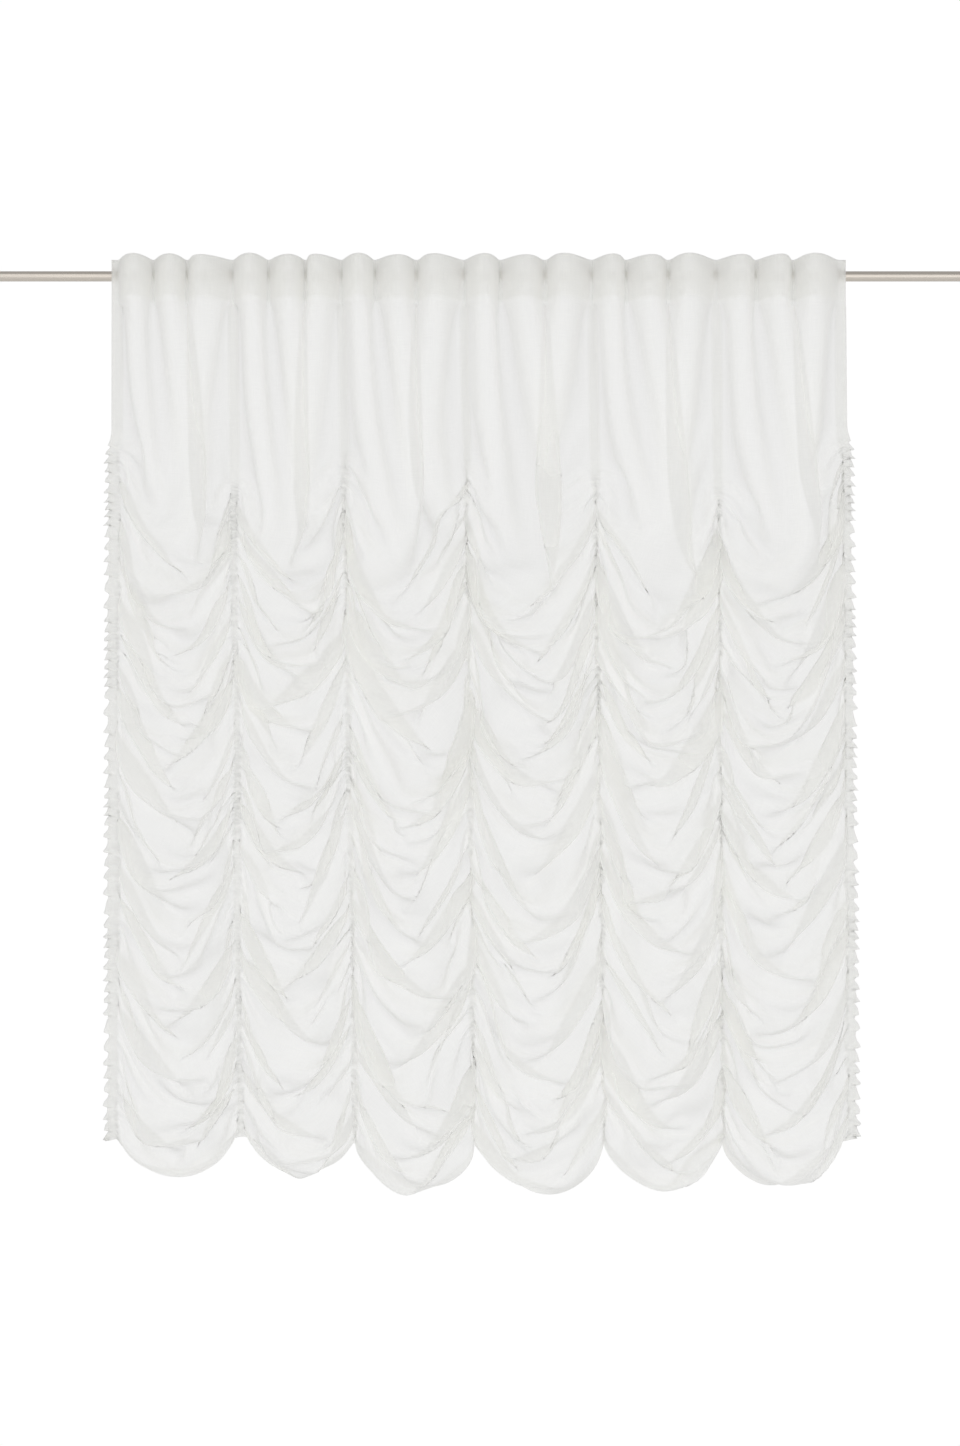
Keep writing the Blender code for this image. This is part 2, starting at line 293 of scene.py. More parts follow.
@dataclass(frozen=True)
class ClothCut:
    """The flat cut of the voile and how it is gathered.

    Attributes:
        fullness: Flat width for each metre of heading.
        length: Flat length from the top edge to the hem.
        side_edge: Flat cloth beyond the outer tapes.
        gather_power: How much of the cloth is gathered near the top of a seam.
        pucker_depth: Most that a pucker stands forward.
        bunched: How far the drawn cloth stands forward of the plain seam.
        pleated_from: Flat length from the top above which no width is pleated.
        pleated_share: Share of the width left open by the pleats at the seams.
        hem_from: Flat length above the hem where the pleats deepen.
        hem_share: Share of the width left open at the hem.
    """

    fullness: float = 1.926
    length: float = 2.84
    side_edge: float = 0.015
    gather_power: float = 1.1
    pucker_depth: float = 0.008
    bunched: float = 0.012
    pleated_from: float = 0.70
    pleated_share: float = 0.95
    hem_from: float = 0.30
    hem_share: float = 0.78

    def open_share(self, down: np.ndarray) -> np.ndarray:
        """Share of the flat width that is not taken up in pleats at the seams.

        Args:
            down: Flat places down the cloth.

        Returns:
            One share for each place.
        """
        stops = (0.0, self.pleated_from, 2.0 * self.pleated_from, self.length - self.hem_from)
        shares = (1.0, 1.0, self.pleated_share, self.pleated_share)
        return np.interp(down, stops + (self.length,), shares + (self.hem_share,))

    @property
    def width(self) -> float:
        """Flat width between the outer edges."""
        return self.fullness * (SEAMS[-1].x_top - SEAMS[0].x_top) + 2.0 * self.side_edge


@dataclass
class ClothGrid:
    """Points of the cloth on a grid of its flat cut.

    Attributes:
        points: Rows by columns by three coordinates.
        across: Flat place of each column.
        down: Flat place of each row, from the top edge.
        seams: Column number of each seam.
    """

    points: np.ndarray
    across: np.ndarray
    down: np.ndarray
    seams: list[int]

    def back_normals(self) -> np.ndarray:
        """Unit normals at the points, towards the back of the cloth.

        Returns:
            Rows by columns by three coordinates.
        """
        along = np.gradient(self.points, axis=1)
        falling = np.gradient(self.points, axis=0)
        normals = np.cross(along, falling)
        size = np.linalg.norm(normals, axis=2, keepdims=True)
        return normals / np.maximum(size, 1e-9)

    def read(self, values: np.ndarray, u: np.ndarray, v: np.ndarray) -> np.ndarray:
        """Values of the grid at flat places, blended between its points.

        Args:
            values: Rows by columns by any number of values.
            u: Flat places across.
            v: Flat places down.

        Returns:
            One row of values for each place.
        """
        rows, columns = values.shape[:2]
        x = np.interp(u, self.across, np.arange(columns))
        y = np.interp(v, self.down, np.arange(rows))
        column = np.minimum(x.astype(int), columns - 2)
        row = np.minimum(y.astype(int), rows - 2)
        s = (x - column)[:, None]
        t = (y - row)[:, None]
        upper = values[row, column] * (1 - s) + values[row, column + 1] * s
        lower = values[row + 1, column] * (1 - s) + values[row + 1, column + 1] * s
        return upper * (1 - t) + lower * t

    def place(self, u: np.ndarray, v: np.ndarray, side: Side, lift: float) -> np.ndarray:
        """Points beside the cloth at flat places.

        Args:
            u: Flat places across.
            v: Flat places down.
            side: Which side of the cloth.
            lift: Distance from the cloth.

        Returns:
            One point for each place.
        """
        normals = self.read(self.back_normals(), u, v)
        size = np.linalg.norm(normals, axis=1, keepdims=True)
        offset = side.value * lift * normals / np.maximum(size, 1e-9)
        return self.read(self.points, u, v) + offset


@dataclass
class HungStart:
    """The shape from which the cloth settles: even swags between the held seams.

    Attributes:
        sizes: Sizes of the hung curtain.
        cut: The flat cut of the voile.
        pucker_skew: Angle by which the puckers lag beside a seam.
        drawn_in: Share of the width beside a seam that its puckers take up.
        gather_ease: Height over which the gathering of a seam sets in.
        sag_power: How the low places of the folds spread down a column.
        low_waver: How much the low places waver across a column.
        hem_roundness: Roundness of the hem's scallops.
        fold_roundness: Roundness of the folds above them.
        rounded_share: Share of a column over which the hem's roundness sets in.
        swell_power: How squarely a fold stands out between two seams.
        front_waver: How unevenly the folds stand out.
        hem_depth: Share of a fold's depth that is left at the hem.
        shallow_share: Share of a column over which the folds become shallow.
    """

    sizes: HangingSizes
    cut: ClothCut
    pucker_skew: float = 0.9
    drawn_in: float = 0.40
    gather_ease: float = 0.06
    sag_power: float = 0.92
    low_waver: float = 0.05
    hem_roundness: float = 2.3
    fold_roundness: float = 1.35
    rounded_share: float = 1 / 4
    swell_power: float = 0.65
    front_waver: float = 0.22
    hem_depth: float = 0.55
    shallow_share: float = 1 / 3

    def seam_height(self, number: int, down: float) -> float:
        """Height of a seam at a flat place down the cloth.

        Args:
            number: Number of the seam.
            down: Flat place down the cloth.

        Returns:
            The height.
        """
        seam = SEAMS[number]
        start = self.sizes.heading_top - seam.gather_start
        if down <= start:
            return self.sizes.heading_top - down
        share = (down - start) / (self.cut.length - start)
        uneven = sum(waver.at(share, number) for waver in GATHER_WAVERS)
        drawn = share**self.cut.gather_power + uneven * math.sin(math.pi * share)
        return mix(seam.gather_start, seam.hem, drawn)

    def pucker_turn(self, number: int, down: float) -> float:
        """Angle of the puckers of a seam at a flat place down the cloth."""
        turn = 2.0 * math.pi * down / SEAMS[number].pucker_pitch + 2.0 * number
        return sum((waver.at(down, number) for waver in PUCKER_WAVERS), turn)

    def gathered(self, number: int, height: float) -> float:
        """How gathered a seam is at a height, from 0 to 1."""
        ease = self.gather_ease
        return smooth((SEAMS[number].gather_start + ease / 2.0 - height) / ease)

    def seam_point(
        self, number: int, down: float, beside: float = 0.0
    ) -> tuple[float, float, float]:
        """Held place on a seam, with the puckers that its drawn tape makes.

        Args:
            number: Number of the seam.
            down: Flat place down the cloth.
            beside: Flat distance from the middle of the seam.

        Returns:
            The place in space.
        """
        sizes = self.sizes
        height = self.seam_height(number, down)
        gathered = self.gathered(number, height)
        side = math.copysign(1.0, beside) if beside else 0.0
        turn = self.pucker_turn(number, down) + side * self.pucker_skew
        uneven = 1.0 - PUCKER_DEPTH_WAVER.size
        uneven += PUCKER_DEPTH_WAVER.at(down, (3.0 + side) * number)
        pucker = self.cut.pucker_depth * uneven * wave(turn)
        forward = (self.cut.bunched + pucker) * gathered
        drawn_in = self.drawn_in * (1.0 + DRAWN_IN_WAVER.at(down, number + side / 2.0))
        aside = gathered * SEAM_WAVER.at(turn, number) + beside * (1.0 - gathered * drawn_in)
        return SEAMS[number].x_at(height, sizes.heading_top) + aside, sizes.seam_y - forward, height

    def edge_point(self, down: float, beyond: float) -> tuple[float, float, float]:
        """Place on the free edge beside an outer seam, which stands out in flutes.

        Args:
            down: Flat place down the cloth.
            beyond: Share of the way to the edge, less than 0 on the left.

        Returns:
            The place in space.
        """
        sizes = self.sizes
        number = 0 if beyond < 0 else len(SEAMS) - 1
        x, y, height = self.seam_point(number, down)
        gathered = self.gathered(number, height)
        turn = self.pucker_turn(number, down) + self.pucker_skew
        reach = mix(sizes.edge_reach, sizes.ruffled_reach, gathered)
        reach += sizes.edge_sway * gathered * math.cos(turn)
        forward = sizes.edge_ruffle * gathered * (0.5 + 0.5 * math.sin(turn))
        droop = sizes.edge_droop * gathered * math.cos(turn)
        return x + beyond * reach, y - abs(beyond) * forward, height - abs(beyond) * droop

    def fold_depth(self, share: float) -> float:
        """Depth of a fold at a share of its height: out to its lip, then under.

        Args:
            share: Share of the fold's height.

        Returns:
            The depth, from 0 to 1.
        """
        lip = self.sizes.lip_share
        if share < lip:
            return wave(math.pi * share / lip)
        return 0.5 + 0.5 * math.cos(math.pi * (share - lip) / (1.0 - lip))

    def uneven(self, swag: int, turn: float) -> float:
        """Slow unevenness between -1 and 1 for a swag and a place down it."""
        return sum(waver.at(turn, swag) for waver in FOLD_WAVERS)

    def swag_point(self, index: int, share: float, turn: float) -> tuple[float, float, float]:
        """A point of the gathered cloth.

        Args:
            index: Number of the swag.
            share: Place across the swag.
            turn: Folds down from the first.

        Returns:
            The place in space.
        """
        sizes = self.sizes
        swag, left, right = SWAGS[index], SEAMS[index], SEAMS[index + 1]
        along = turn / sizes.folds
        left_height = mix(left.gather_start, left.hem, along)
        right_height = mix(right.gather_start, right.hem, along)
        held = mix(left_height, right_height, share)
        low = mix(swag.low_top, swag.low_hem, along) + self.low_waver * self.uneven(index, turn)
        low_height = mix(swag.first_low, sizes.hem_low, along**self.sag_power)
        drop = mix(left_height, right_height, low) - low_height
        above_hem = smooth((1.0 - along) / self.rounded_share)
        roundness = mix(self.hem_roundness, self.fold_roundness, above_hem)
        side = (share - low) / (low if share < low else 1.0 - low)
        height = held - drop * (1.0 - abs(side) ** roundness)
        swell = math.sin(math.pi * share) ** self.swell_power
        fold = self.fold_depth(turn % 1.0)
        uneven = self.uneven(index + len(SWAGS) - 1, turn // 1.0)
        front = sizes.fold_front * (1.0 + self.front_waver * uneven)
        ease = mix(self.hem_depth, 1.0, smooth((1.0 - along) / self.shallow_share))
        depth = swell * ease * (front * fold - sizes.fold_back * (1.0 - fold))
        x = mix(left.x_at(held, sizes.heading_top), right.x_at(held, sizes.heading_top), share)
        return x, sizes.seam_y - depth, height

    def heading_point(self, index: int, share: float, down: float) -> tuple[float, float, float]:
        """A point of the heading band.

        Args:
            index: Number of the swag below it.
            share: Place across that swag.
            down: Flat place down the cloth.

        Returns:
            The place in space.
        """
        sizes = self.sizes
        x = mix(SEAMS[index].x_top, SEAMS[index + 1].x_top, share)
        aside, forward = sizes.heading_wave(x)
        return x + aside, sizes.seam_y - forward, sizes.heading_top - down

    def drop_point(self, index: int, share: float, down: float) -> tuple[float, float, float]:
        """A point of the plain cloth between the heading band and the first fold.

        Args:
            index: Number of the swag below it.
            share: Place across that swag.
            down: Flat place down the cloth.

        Returns:
            The place in space.
        """
        sizes = self.sizes
        pair = SEAMS[index : index + 2]
        held = mix(self.seam_height(index, down), self.seam_height(index + 1, down), share)
        first_turn = sizes.first_lip / sizes.folds
        ends = [mix(seam.gather_start, seam.hem, first_turn) for seam in pair]
        end = mix(ends[0], ends[1], share)
        fallen = (sizes.heading_bottom - held) / (sizes.heading_bottom - end)
        _, first_y, first_height = self.swag_point(index, share, sizes.first_lip)
        height = mix(sizes.heading_bottom, first_height, fallen)
        left, right = (seam.x_at(height, sizes.heading_top) for seam in pair)
        straight = mix(pair[0].x_top, pair[1].x_top, share)
        aside, forward = sizes.heading_wave(straight, smooth(4.0 * fallen))
        left_over = mix(1.0, sizes.wave_left_at_swag, fallen)
        y = mix(sizes.seam_y - left_over * forward, first_y, smooth(2.0 * fallen - 1.0))
        return mix(left, right, share) + aside * (1.0 - smooth(fallen)), y, height

    def point(self, index: int, share: float, down: float) -> tuple[float, float, float]:
        """A point of the whole cloth.

        Args:
            index: Number of the swag.
            share: Place across the swag.
            down: Flat place down the cloth.

        Returns:
            The place in space.
        """
        sizes = self.sizes
        if down <= sizes.heading_depth:
            return self.heading_point(index, share, down)
        turns = []
        for number in (index, index + 1):
            seam = SEAMS[number]
            fallen = self.seam_height(number, down) - seam.gather_start
            turns.append(sizes.folds * fallen / (seam.hem - seam.gather_start))
        turn = mix(turns[0], turns[1], share)
        if turn < sizes.first_lip:
            return self.drop_point(index, share, down)
        return self.swag_point(index, share, min(turn, sizes.folds - 1e-6))

    def columns(self, strips: int, edge: int) -> list[tuple[int, float, float]]:
        """Columns of the grid.

        Args:
            strips: Columns in each swag.
            edge: Columns beyond each outer seam.

        Returns:
            Swag, share across it and share beyond the outer seam, for each column.
        """
        last = len(SWAGS) - 1
        made = [(0, 0.0, (step - edge) / edge) for step in range(edge)]
        for index in range(len(SWAGS)):
            made += [(index, step / strips, 0.0) for step in range(strips)]
        made.append((last, 1.0, 0.0))
        return made + [(last, 1.0, (step + 1) / edge) for step in range(edge)]

    def flat_axes(self, strips: int, edge: int, rows: int) -> tuple[np.ndarray, np.ndarray]:
        """Flat places of the columns and of the rows.

        Args:
            strips: Columns in each swag.
            edge: Columns beyond each outer seam.
            rows: Rows from the top edge to the hem.

        Returns:
            The places across and the places down.
        """
        cut = self.cut
        across = []
        for index, share, beyond in self.columns(strips, edge):
            x = mix(SEAMS[index].x_top, SEAMS[index + 1].x_top, share)
            across.append(cut.fullness * (x - SEAMS[0].x_top) + cut.side_edge * (1 + beyond))
        return np.array(across), np.linspace(0.0, cut.length, rows + 1)

    def grid(self, strips: int, edge: int, rows: int) -> ClothGrid:
        """The starting grid.

        Args:
            strips: Columns in each swag.
            edge: Columns beyond each outer seam.
            rows: Rows from the top edge to the hem.

        Returns:
            The grid with its points in space.
        """
        columns = self.columns(strips, edge)
        across, down = self.flat_axes(strips, edge, rows)
        points = np.zeros((len(down), len(columns), 3), np.float32)
        for row, place in enumerate(down):
            for column, (index, share, beyond) in enumerate(columns):
                if beyond:
                    points[row, column] = self.edge_point(place, beyond)
                else:
                    points[row, column] = self.point(index, share, place)
        seams = [edge + strips * number for number in range(len(SEAMS))]
        return ClothGrid(points, across, down, seams)


@dataclass(frozen=True)
class Stage:
    """One stage of the settling, from coarse to fine.

    Attributes:
        steps: Number of time steps.
        time_step: Length of one step in seconds.
        bend: How strongly the cloth keeps from folding sharply.
        shear: How strongly the weave keeps square.
        crumple: Size of the random unevenness at its start.
    """

    steps: int
    time_step: float
    bend: float
    shear: float
    crumple: float


@dataclass
class Settling:
    """Lets the cloth hang from its held heading and seams until it comes to rest.

    The cloth keeps its flat lengths along and across the weave, resists shear and sharp
    bends a little, and what lies further down its length stays behind what lies above it.

    Attributes:
        start: The shape from which it settles.
        stages: The stages of the settling.
        strips: Columns in each swag at the first stage.
        edge: Columns beyond each outer seam at the first stage.
        rows: Rows at the first stage.
        seed: Seed of the random unevenness.
        squeeze: Share of a squeezed thread's error that is mended.
        shear_squeeze: Strength against squeezing aslant, as a share of that against stretching.
        early_steps: Steps in which the drag is strong.
        early_drag: Share of the speed that is left by the strong drag.
        late_drag: Share of the speed that is left by the weak drag.
        layer_gap: Distance that layers keep.
        layer_reach: Flat length over which layers are kept apart.
        layer_rows: Heights, in rows, between which cloth counts as another layer.
        layer_aside: Distance sideways within which it does.
        layer_depth: Distance past which layers are let be.
        layer_push: Share of the missing distance that is mended.
        gravity: Acceleration of the fall.
        fastest: Highest speed.
        held_heading: Flat length that the heading tape holds.
        sewn_reach: Flat distance from a seam within which the cloth is sewn to its tape.
        pressing: How often the cloth is smoothed.
        pressed_share: How strongly it is smoothed.
        rounding: How often its sharp bends are rounded.
        soft_bend: Bend above which it is sharp.
        hem_pressing: How often the stiff hem is smoothed.
        stiff_hem: Flat length of the stiff hem.
    """

    start: HungStart
    stages: tuple[Stage, ...]
    strips: int = 11
    edge: int = 1
    rows: int = 86
    seed: int = 7
    squeeze: float = 0.8
    shear_squeeze: float = 0.6
    early_steps: int = 60
    early_drag: float = 0.94
    late_drag: float = 0.985
    layer_gap: float = 0.004
    layer_reach: float = 0.20
    layer_rows: tuple[float, float] = (-0.6, 0.9)
    layer_aside: float = 0.02
    layer_depth: float = 0.03
    layer_push: float = 0.25
    gravity: float = 9.81
    fastest: float = 2.0
    held_heading: float = 0.085
    sewn_reach: float = 0.0099
    pressing: int = 3
    pressed_share: float = 0.45
    rounding: int = 3
    soft_bend: float = 0.0011
    hem_pressing: int = 24
    stiff_hem: float = 0.05

    def sewn(self, grid: ClothGrid) -> list[tuple[int, int, float]]:
        """Seam, column and distance from the seam of each column that is sewn to a tape.

        Args:
            grid: The grid.

        Returns:
            The three numbers for each such column.
        """
        made = []
        for number, middle in enumerate(grid.seams):
            aside = grid.across - grid.across[middle]
            for column in np.flatnonzero(np.abs(aside) <= self.sewn_reach):
                made.append((number, int(column), float(aside[column])))
        return made

    def held(self, grid: ClothGrid) -> np.ndarray:
        """Freedom of each point: 0 where it is held and 1 elsewhere.

        Args:
            grid: The grid.

        Returns:
            Rows by columns by one freedom.
        """
        free = np.ones(grid.points.shape[:2] + (1,), np.float32)
        free[grid.down <= self.held_heading] = 0.0
        free[:, [column for _, column, _ in self.sewn(grid)]] = 0.0
        free[:, : grid.seams[0]] = 0.0
        free[:, grid.seams[-1] :] = 0.0
        return free

    def hold(self, grid: ClothGrid) -> None:
        """Put the held points of the heading, the seams and the side edges in place.

        Args:
            grid: The grid, whose points are changed in place.
        """
        sizes = self.start.sizes
        columns = self.start.columns(grid.seams[1] - grid.seams[0], grid.seams[0])
        heading = [row for row, down in enumerate(grid.down) if down <= self.held_heading]
        for column, (index, share, beyond) in enumerate(columns):
            for row in heading:
                down = min(grid.down[row], sizes.heading_depth)
                x, y, _ = self.start.heading_point(index, share, down)
                aside = beyond * sizes.edge_reach
                grid.points[row, column] = (x + aside, y, sizes.heading_top - grid.down[row])
        for number, column, aside in self.sewn(grid):
            if not columns[column][2]:
                first = len(heading) if aside else 0
                for row, down in enumerate(grid.down[first:], first):
                    grid.points[row, column] = self.start.seam_point(number, down, aside)
        for column, (_, _, beyond) in enumerate(columns):
            if beyond:
                for row, down in enumerate(grid.down[len(heading) :], len(heading)):
                    grid.points[row, column] = self.start.edge_point(down, beyond)

    @staticmethod
    def pull(
        a: np.ndarray,
        b: np.ndarray,
        free_a: np.ndarray,
        free_b: np.ndarray,
        rest: np.ndarray,
        stretch: float,
        squeeze: float,
    ) -> None:
        """Move pairs of points towards their flat distance.

        Args:
            a: First points, changed in place.
            b: Second points, changed in place.
            free_a: Freedom of the first points.
            free_b: Freedom of the second points.
            rest: Flat distance of each pair.
            stretch: Share of a stretched pair's error that is mended.
            squeeze: Share of a squeezed pair's error that is mended.
        """
        apart = b - a
        length = np.sqrt(np.einsum("rcx,rcx->rc", apart, apart))
        error = length - rest
        share = np.where(error > 0, stretch, squeeze) * error / np.maximum(length, 1e-6)
        total = free_a + free_b
        total[total == 0] = 1.0
        mend = share[..., None].astype(np.float32) * apart / total
        a += free_a * mend
        b -= free_b * mend

    def link(
        self,
        points: np.ndarray,
        free: np.ndarray,
        step: tuple[int, int],
        rest: np.ndarray,
        stretch: float,
        squeeze: float,
    ) -> None:
        """Pull every pair of points that lies a step apart, in groups that share no point.

        Args:
            points: Points of the grid, changed in place.
            free: Freedom of the points.
            step: Rows down and columns across from one point of a pair to the other.
            rest: Flat distance of each pair.
            stretch: Share of a stretched pair's error that is mended.
            squeeze: Share of a squeezed pair's error that is mended.
        """
        rows, columns = points.shape[:2]
        down, across = step
        jump = max(down, abs(across))
        full = np.broadcast_to(rest, (rows - down, columns - abs(across)))
        for group in range(2 * jump):
            if down:
                first = slice(group, rows - down, 2 * jump)
                second = slice(group + down, rows, 2 * jump)
                left = slice(0, columns - across) if across >= 0 else slice(-across, columns)
                right = slice(across, columns) if across >= 0 else slice(0, columns + across)
                a, b = (first, left), (second, right)
                wanted = full[group::2 * jump]
            else:
                a = (slice(None), slice(group, columns - across, 2 * jump))
                b = (slice(None), slice(group + across, columns, 2 * jump))
                wanted = full[:, group::2 * jump]
            self.pull(points[a], points[b], free[a], free[b], wanted, stretch, squeeze)

    def keep_layers(self, points: np.ndarray, free: np.ndarray, row_length: float) -> None:
        """Push cloth further down its length behind the cloth above it at the same height.

        Args:
            points: Points of the grid, changed in place.
            free: Freedom of the points.
            row_length: Flat distance between two rows.
        """
        lowest, highest = self.layer_rows
        for step in range(2, int(self.layer_reach / row_length)):
            above, below = points[:-step], points[step:]
            height = below[..., 2] - above[..., 2]
            aside = np.abs(below[..., 0] - above[..., 0])
            near = (height > lowest * row_length) & (height < highest * row_length)
            near &= aside < self.layer_aside
            need = self.layer_gap - (below[..., 1] - above[..., 1])
            near &= (need > 0) & (need < self.layer_depth)
            push = np.where(near, self.layer_push * need, 0.0)
            above[..., 1] -= push * free[:-step, :, 0]
            below[..., 1] += push * free[step:, :, 0]

    def run_stage(self, grid: ClothGrid, stage: Stage) -> None:
        """Let the grid hang for one stage.

        Args:
            grid: The grid, whose points are changed in place.
            stage: The stage.
        """
        points, free = grid.points, self.held(grid)
        row_length = float(grid.down[1] - grid.down[0])
        open_share = self.start.cut.open_share(grid.down)[:, None]
        widths = (open_share * np.diff(grid.across)).astype(np.float32)
        double = (open_share * (grid.across[2:] - grid.across[:-2])).astype(np.float32)
        slant = np.sqrt(row_length**2 + widths[1:] ** 2)
        shear = (stage.shear, self.shear_squeeze * stage.shear)
        links = (
            ((1, 0), np.float32(row_length), 1.0, self.squeeze),
            ((0, 1), widths, 1.0, self.squeeze),
            ((1, 1), slant, *shear),
            ((1, -1), slant, *shear),
            ((2, 0), np.float32(2 * row_length), 0.0, stage.bend),
            ((0, 2), double, 0.0, stage.bend),
        )
        sizes = self.start.sizes
        first, last = grid.seams[0], grid.seams[-1]
        inside = points[:, first + 1 : last, 0]
        left = points[:, first, 0][:, None] - sizes.edge_slack
        right = points[:, last, 0][:, None] + sizes.edge_slack
        speed = np.zeros_like(points)
        for number in range(stage.steps):
            speed *= self.early_drag if number < self.early_steps else self.late_drag
            speed[..., 2] -= self.gravity * stage.time_step * free[..., 0]
            size = np.sqrt(np.einsum("rcx,rcx->rc", speed, speed))[..., None]
            speed *= np.minimum(1.0, self.fastest / np.maximum(size, 1e-6))
            before = points.copy()
            points += speed * stage.time_step * free
            for step, rest, stretch, squeeze in links:
                self.link(points, free, step, rest, stretch, squeeze)
            if number % 2 == 0:
                self.keep_layers(points, free, row_length)
            np.clip(points[..., 1], sizes.front_limit, sizes.back_limit, out=points[..., 1])
            np.clip(inside, left, right, out=inside)
            speed = (points - before) / stage.time_step

    @staticmethod
    def halved(values: np.ndarray, axis: int) -> np.ndarray:
        """Twice as many steps along an axis, on smooth curves through the old points.

        Args:
            values: Values on the grid.
            axis: The axis.

        Returns:
            The values on a finer grid.
        """
        old = np.moveaxis(values, axis, 0)
        middle = 0.5 * (old[:-1] + old[1:])
        middle[1:-1] = (9.0 * (old[1:-2] + old[2:-1]) - (old[:-3] + old[3:])) / 16.0
        new = np.empty((2 * len(old) - 1,) + old.shape[1:], old.dtype)
        new[0::2] = old
        new[1::2] = middle
        return np.moveaxis(new, 0, axis)

    def finer(self, grid: ClothGrid) -> ClothGrid:
        """The grid with twice as many rows and columns.

        Args:
            grid: The grid.

        Returns:
            The finer grid.
        """
        points = self.halved(self.halved(grid.points, 0), 1)
        strips = 2 * (grid.seams[1] - grid.seams[0])
        edge = 2 * grid.seams[0]
        across, down = self.start.flat_axes(strips, edge, 2 * (len(grid.down) - 1))
        return ClothGrid(np.ascontiguousarray(points), across, down, [2 * s for s in grid.seams])

    def press(self, grid: ClothGrid) -> None:
        """Smooth out the sharpest small creases of the settled cloth and stiffen its hem.

        Args:
            grid: The grid, whose points are changed in place.
        """
        points, free = grid.points, self.held(grid)[1:-1, 1:-1]
        inner = points[1:-1, 1:-1]
        for number in range(self.pressing + self.rounding):
            ring = points[:-2, 1:-1] + points[2:, 1:-1] + points[1:-1, :-2] + points[1:-1, 2:]
            bend = 0.25 * ring - inner
            if number < self.pressing:
                inner += self.pressed_share * free * bend
                continue
            sharp = np.linalg.norm(bend, axis=2, keepdims=True) / self.soft_bend - 1.0
            inner += self.pressed_share * np.clip(sharp, 0.0, 1.0) * free * bend
        stiff = (grid.down - grid.down[-1] + self.stiff_hem) / self.stiff_hem
        stiff = np.clip(stiff, 0.0, 1.0)[1:, None, None]
        loose = (stiff * self.held(grid)[1:, 1:-1]).astype(np.float32)
        middle = points[1:, 1:-1]
        for _ in range(self.hem_pressing):
            middle += loose * 0.5 * (0.5 * (points[1:, :-2] + points[1:, 2:]) - middle)

    def settle(self) -> ClothGrid:
        """Run all stages, each on a grid twice as fine as the last.

        Returns:
            The settled grid.
        """
        chance = np.random.default_rng(self.seed)
        grid = self.start.grid(self.strips, self.edge, self.rows)
        for number, stage in enumerate(self.stages):
            if number:
                grid = self.finer(grid)
            self.hold(grid)
            noise = chance.normal(0.0, stage.crumple, grid.points.shape)
            grid.points += (self.held(grid) * noise).astype(np.float32)
            self.run_stage(grid, stage)
            LOG.info("settled stage %d on %d points", number + 1, grid.points[..., 0].size)
        self.press(grid)
        return grid


STAGES = (
    Stage(steps=700, time_step=1 / 400, bend=0.14, shear=0.25, crumple=0.0008),
    Stage(steps=260, time_step=1 / 500, bend=0.18, shear=0.25, crumple=0.0002),
    Stage(steps=130, time_step=1 / 700, bend=0.18, shear=0.20, crumple=0.0001),
)


class NodeSheet:
    """Adds nodes to one tree and joins them."""

    def __init__(self, tree: bpy.types.NodeTree) -> None:
        """Start on a tree.

        Args:
            tree: The node tree to fill.
        """
        self.tree = tree

    def add(
        self, kind: str, inputs: dict[str | int, object] | None = None, **settings: object
    ) -> bpy.types.Node:
        """Add a node with its settings and the values or links of its inputs.

        Args:
            kind: The node's type.
            inputs: Values or output sockets, by the input's name or number.
            **settings: The node's own properties.

        Returns:
            The new node.
        """
        node = self.tree.nodes.new(kind)
        for name, value in settings.items():
            setattr(node, name, value)
        for key, value in (inputs or {}).items():
            if isinstance(value, bpy.types.NodeSocket):
                self.tree.links.new(value, node.inputs[key])
            else:
                node.inputs[key].default_value = value
        return node

    def number(
        self, operation: str, first: object, second: object = 0.0
    ) -> bpy.types.NodeSocket:
        """The result of a sum on two numbers or outputs."""
        return self.add("ShaderNodeMath", {0: first, 1: second}, operation=operation).outputs[0]

    def tint(
        self, factor: bpy.types.NodeSocket, colour: Sequence[float], low: float, high: float
    ) -> bpy.types.NodeSocket:
        """A colour that varies in brightness.

        Args:
            factor: Output that says where it is dark or bright.
            colour: The colour.
            low: Its brightness where the factor is 0.
            high: Its brightness where the factor is 1.

        Returns:
            The output of the varied colour.
        """
        ends = [(*[bright * part for part in colour], 1.0) for bright in (low, high)]
        inputs = {"Factor": factor, "A": ends[0], "B": ends[1]}
        return self.add("ShaderNodeMix", inputs, data_type="RGBA").outputs["Result"]


@dataclass(frozen=True)
class SocketPlan:
    """One named socket of a node group.

    Attributes:
        name: The socket's name.
        kind: Its type.
        default: Its value when nothing is given.
        is_output: Whether it puts out a value.
    """

    name: str
    kind: str
    default: float | None = None
    is_output: bool = False


def new_group(name: str, kind: str, plans: Sequence[SocketPlan]) -> bpy.types.NodeTree:
    """Make an empty node group with its sockets.

    Args:
        name: The group's name.
        kind: The type of tree.
        plans: Its sockets in order.

    Returns:
        The group.
    """
    group = bpy.data.node_groups.new(name, kind)
    for plan in plans:
        direction = "OUTPUT" if plan.is_output else "INPUT"
        socket = group.interface.new_socket(plan.name, in_out=direction, socket_type=plan.kind)
        if plan.default is not None:
            socket.default_value = plan.default
    return group


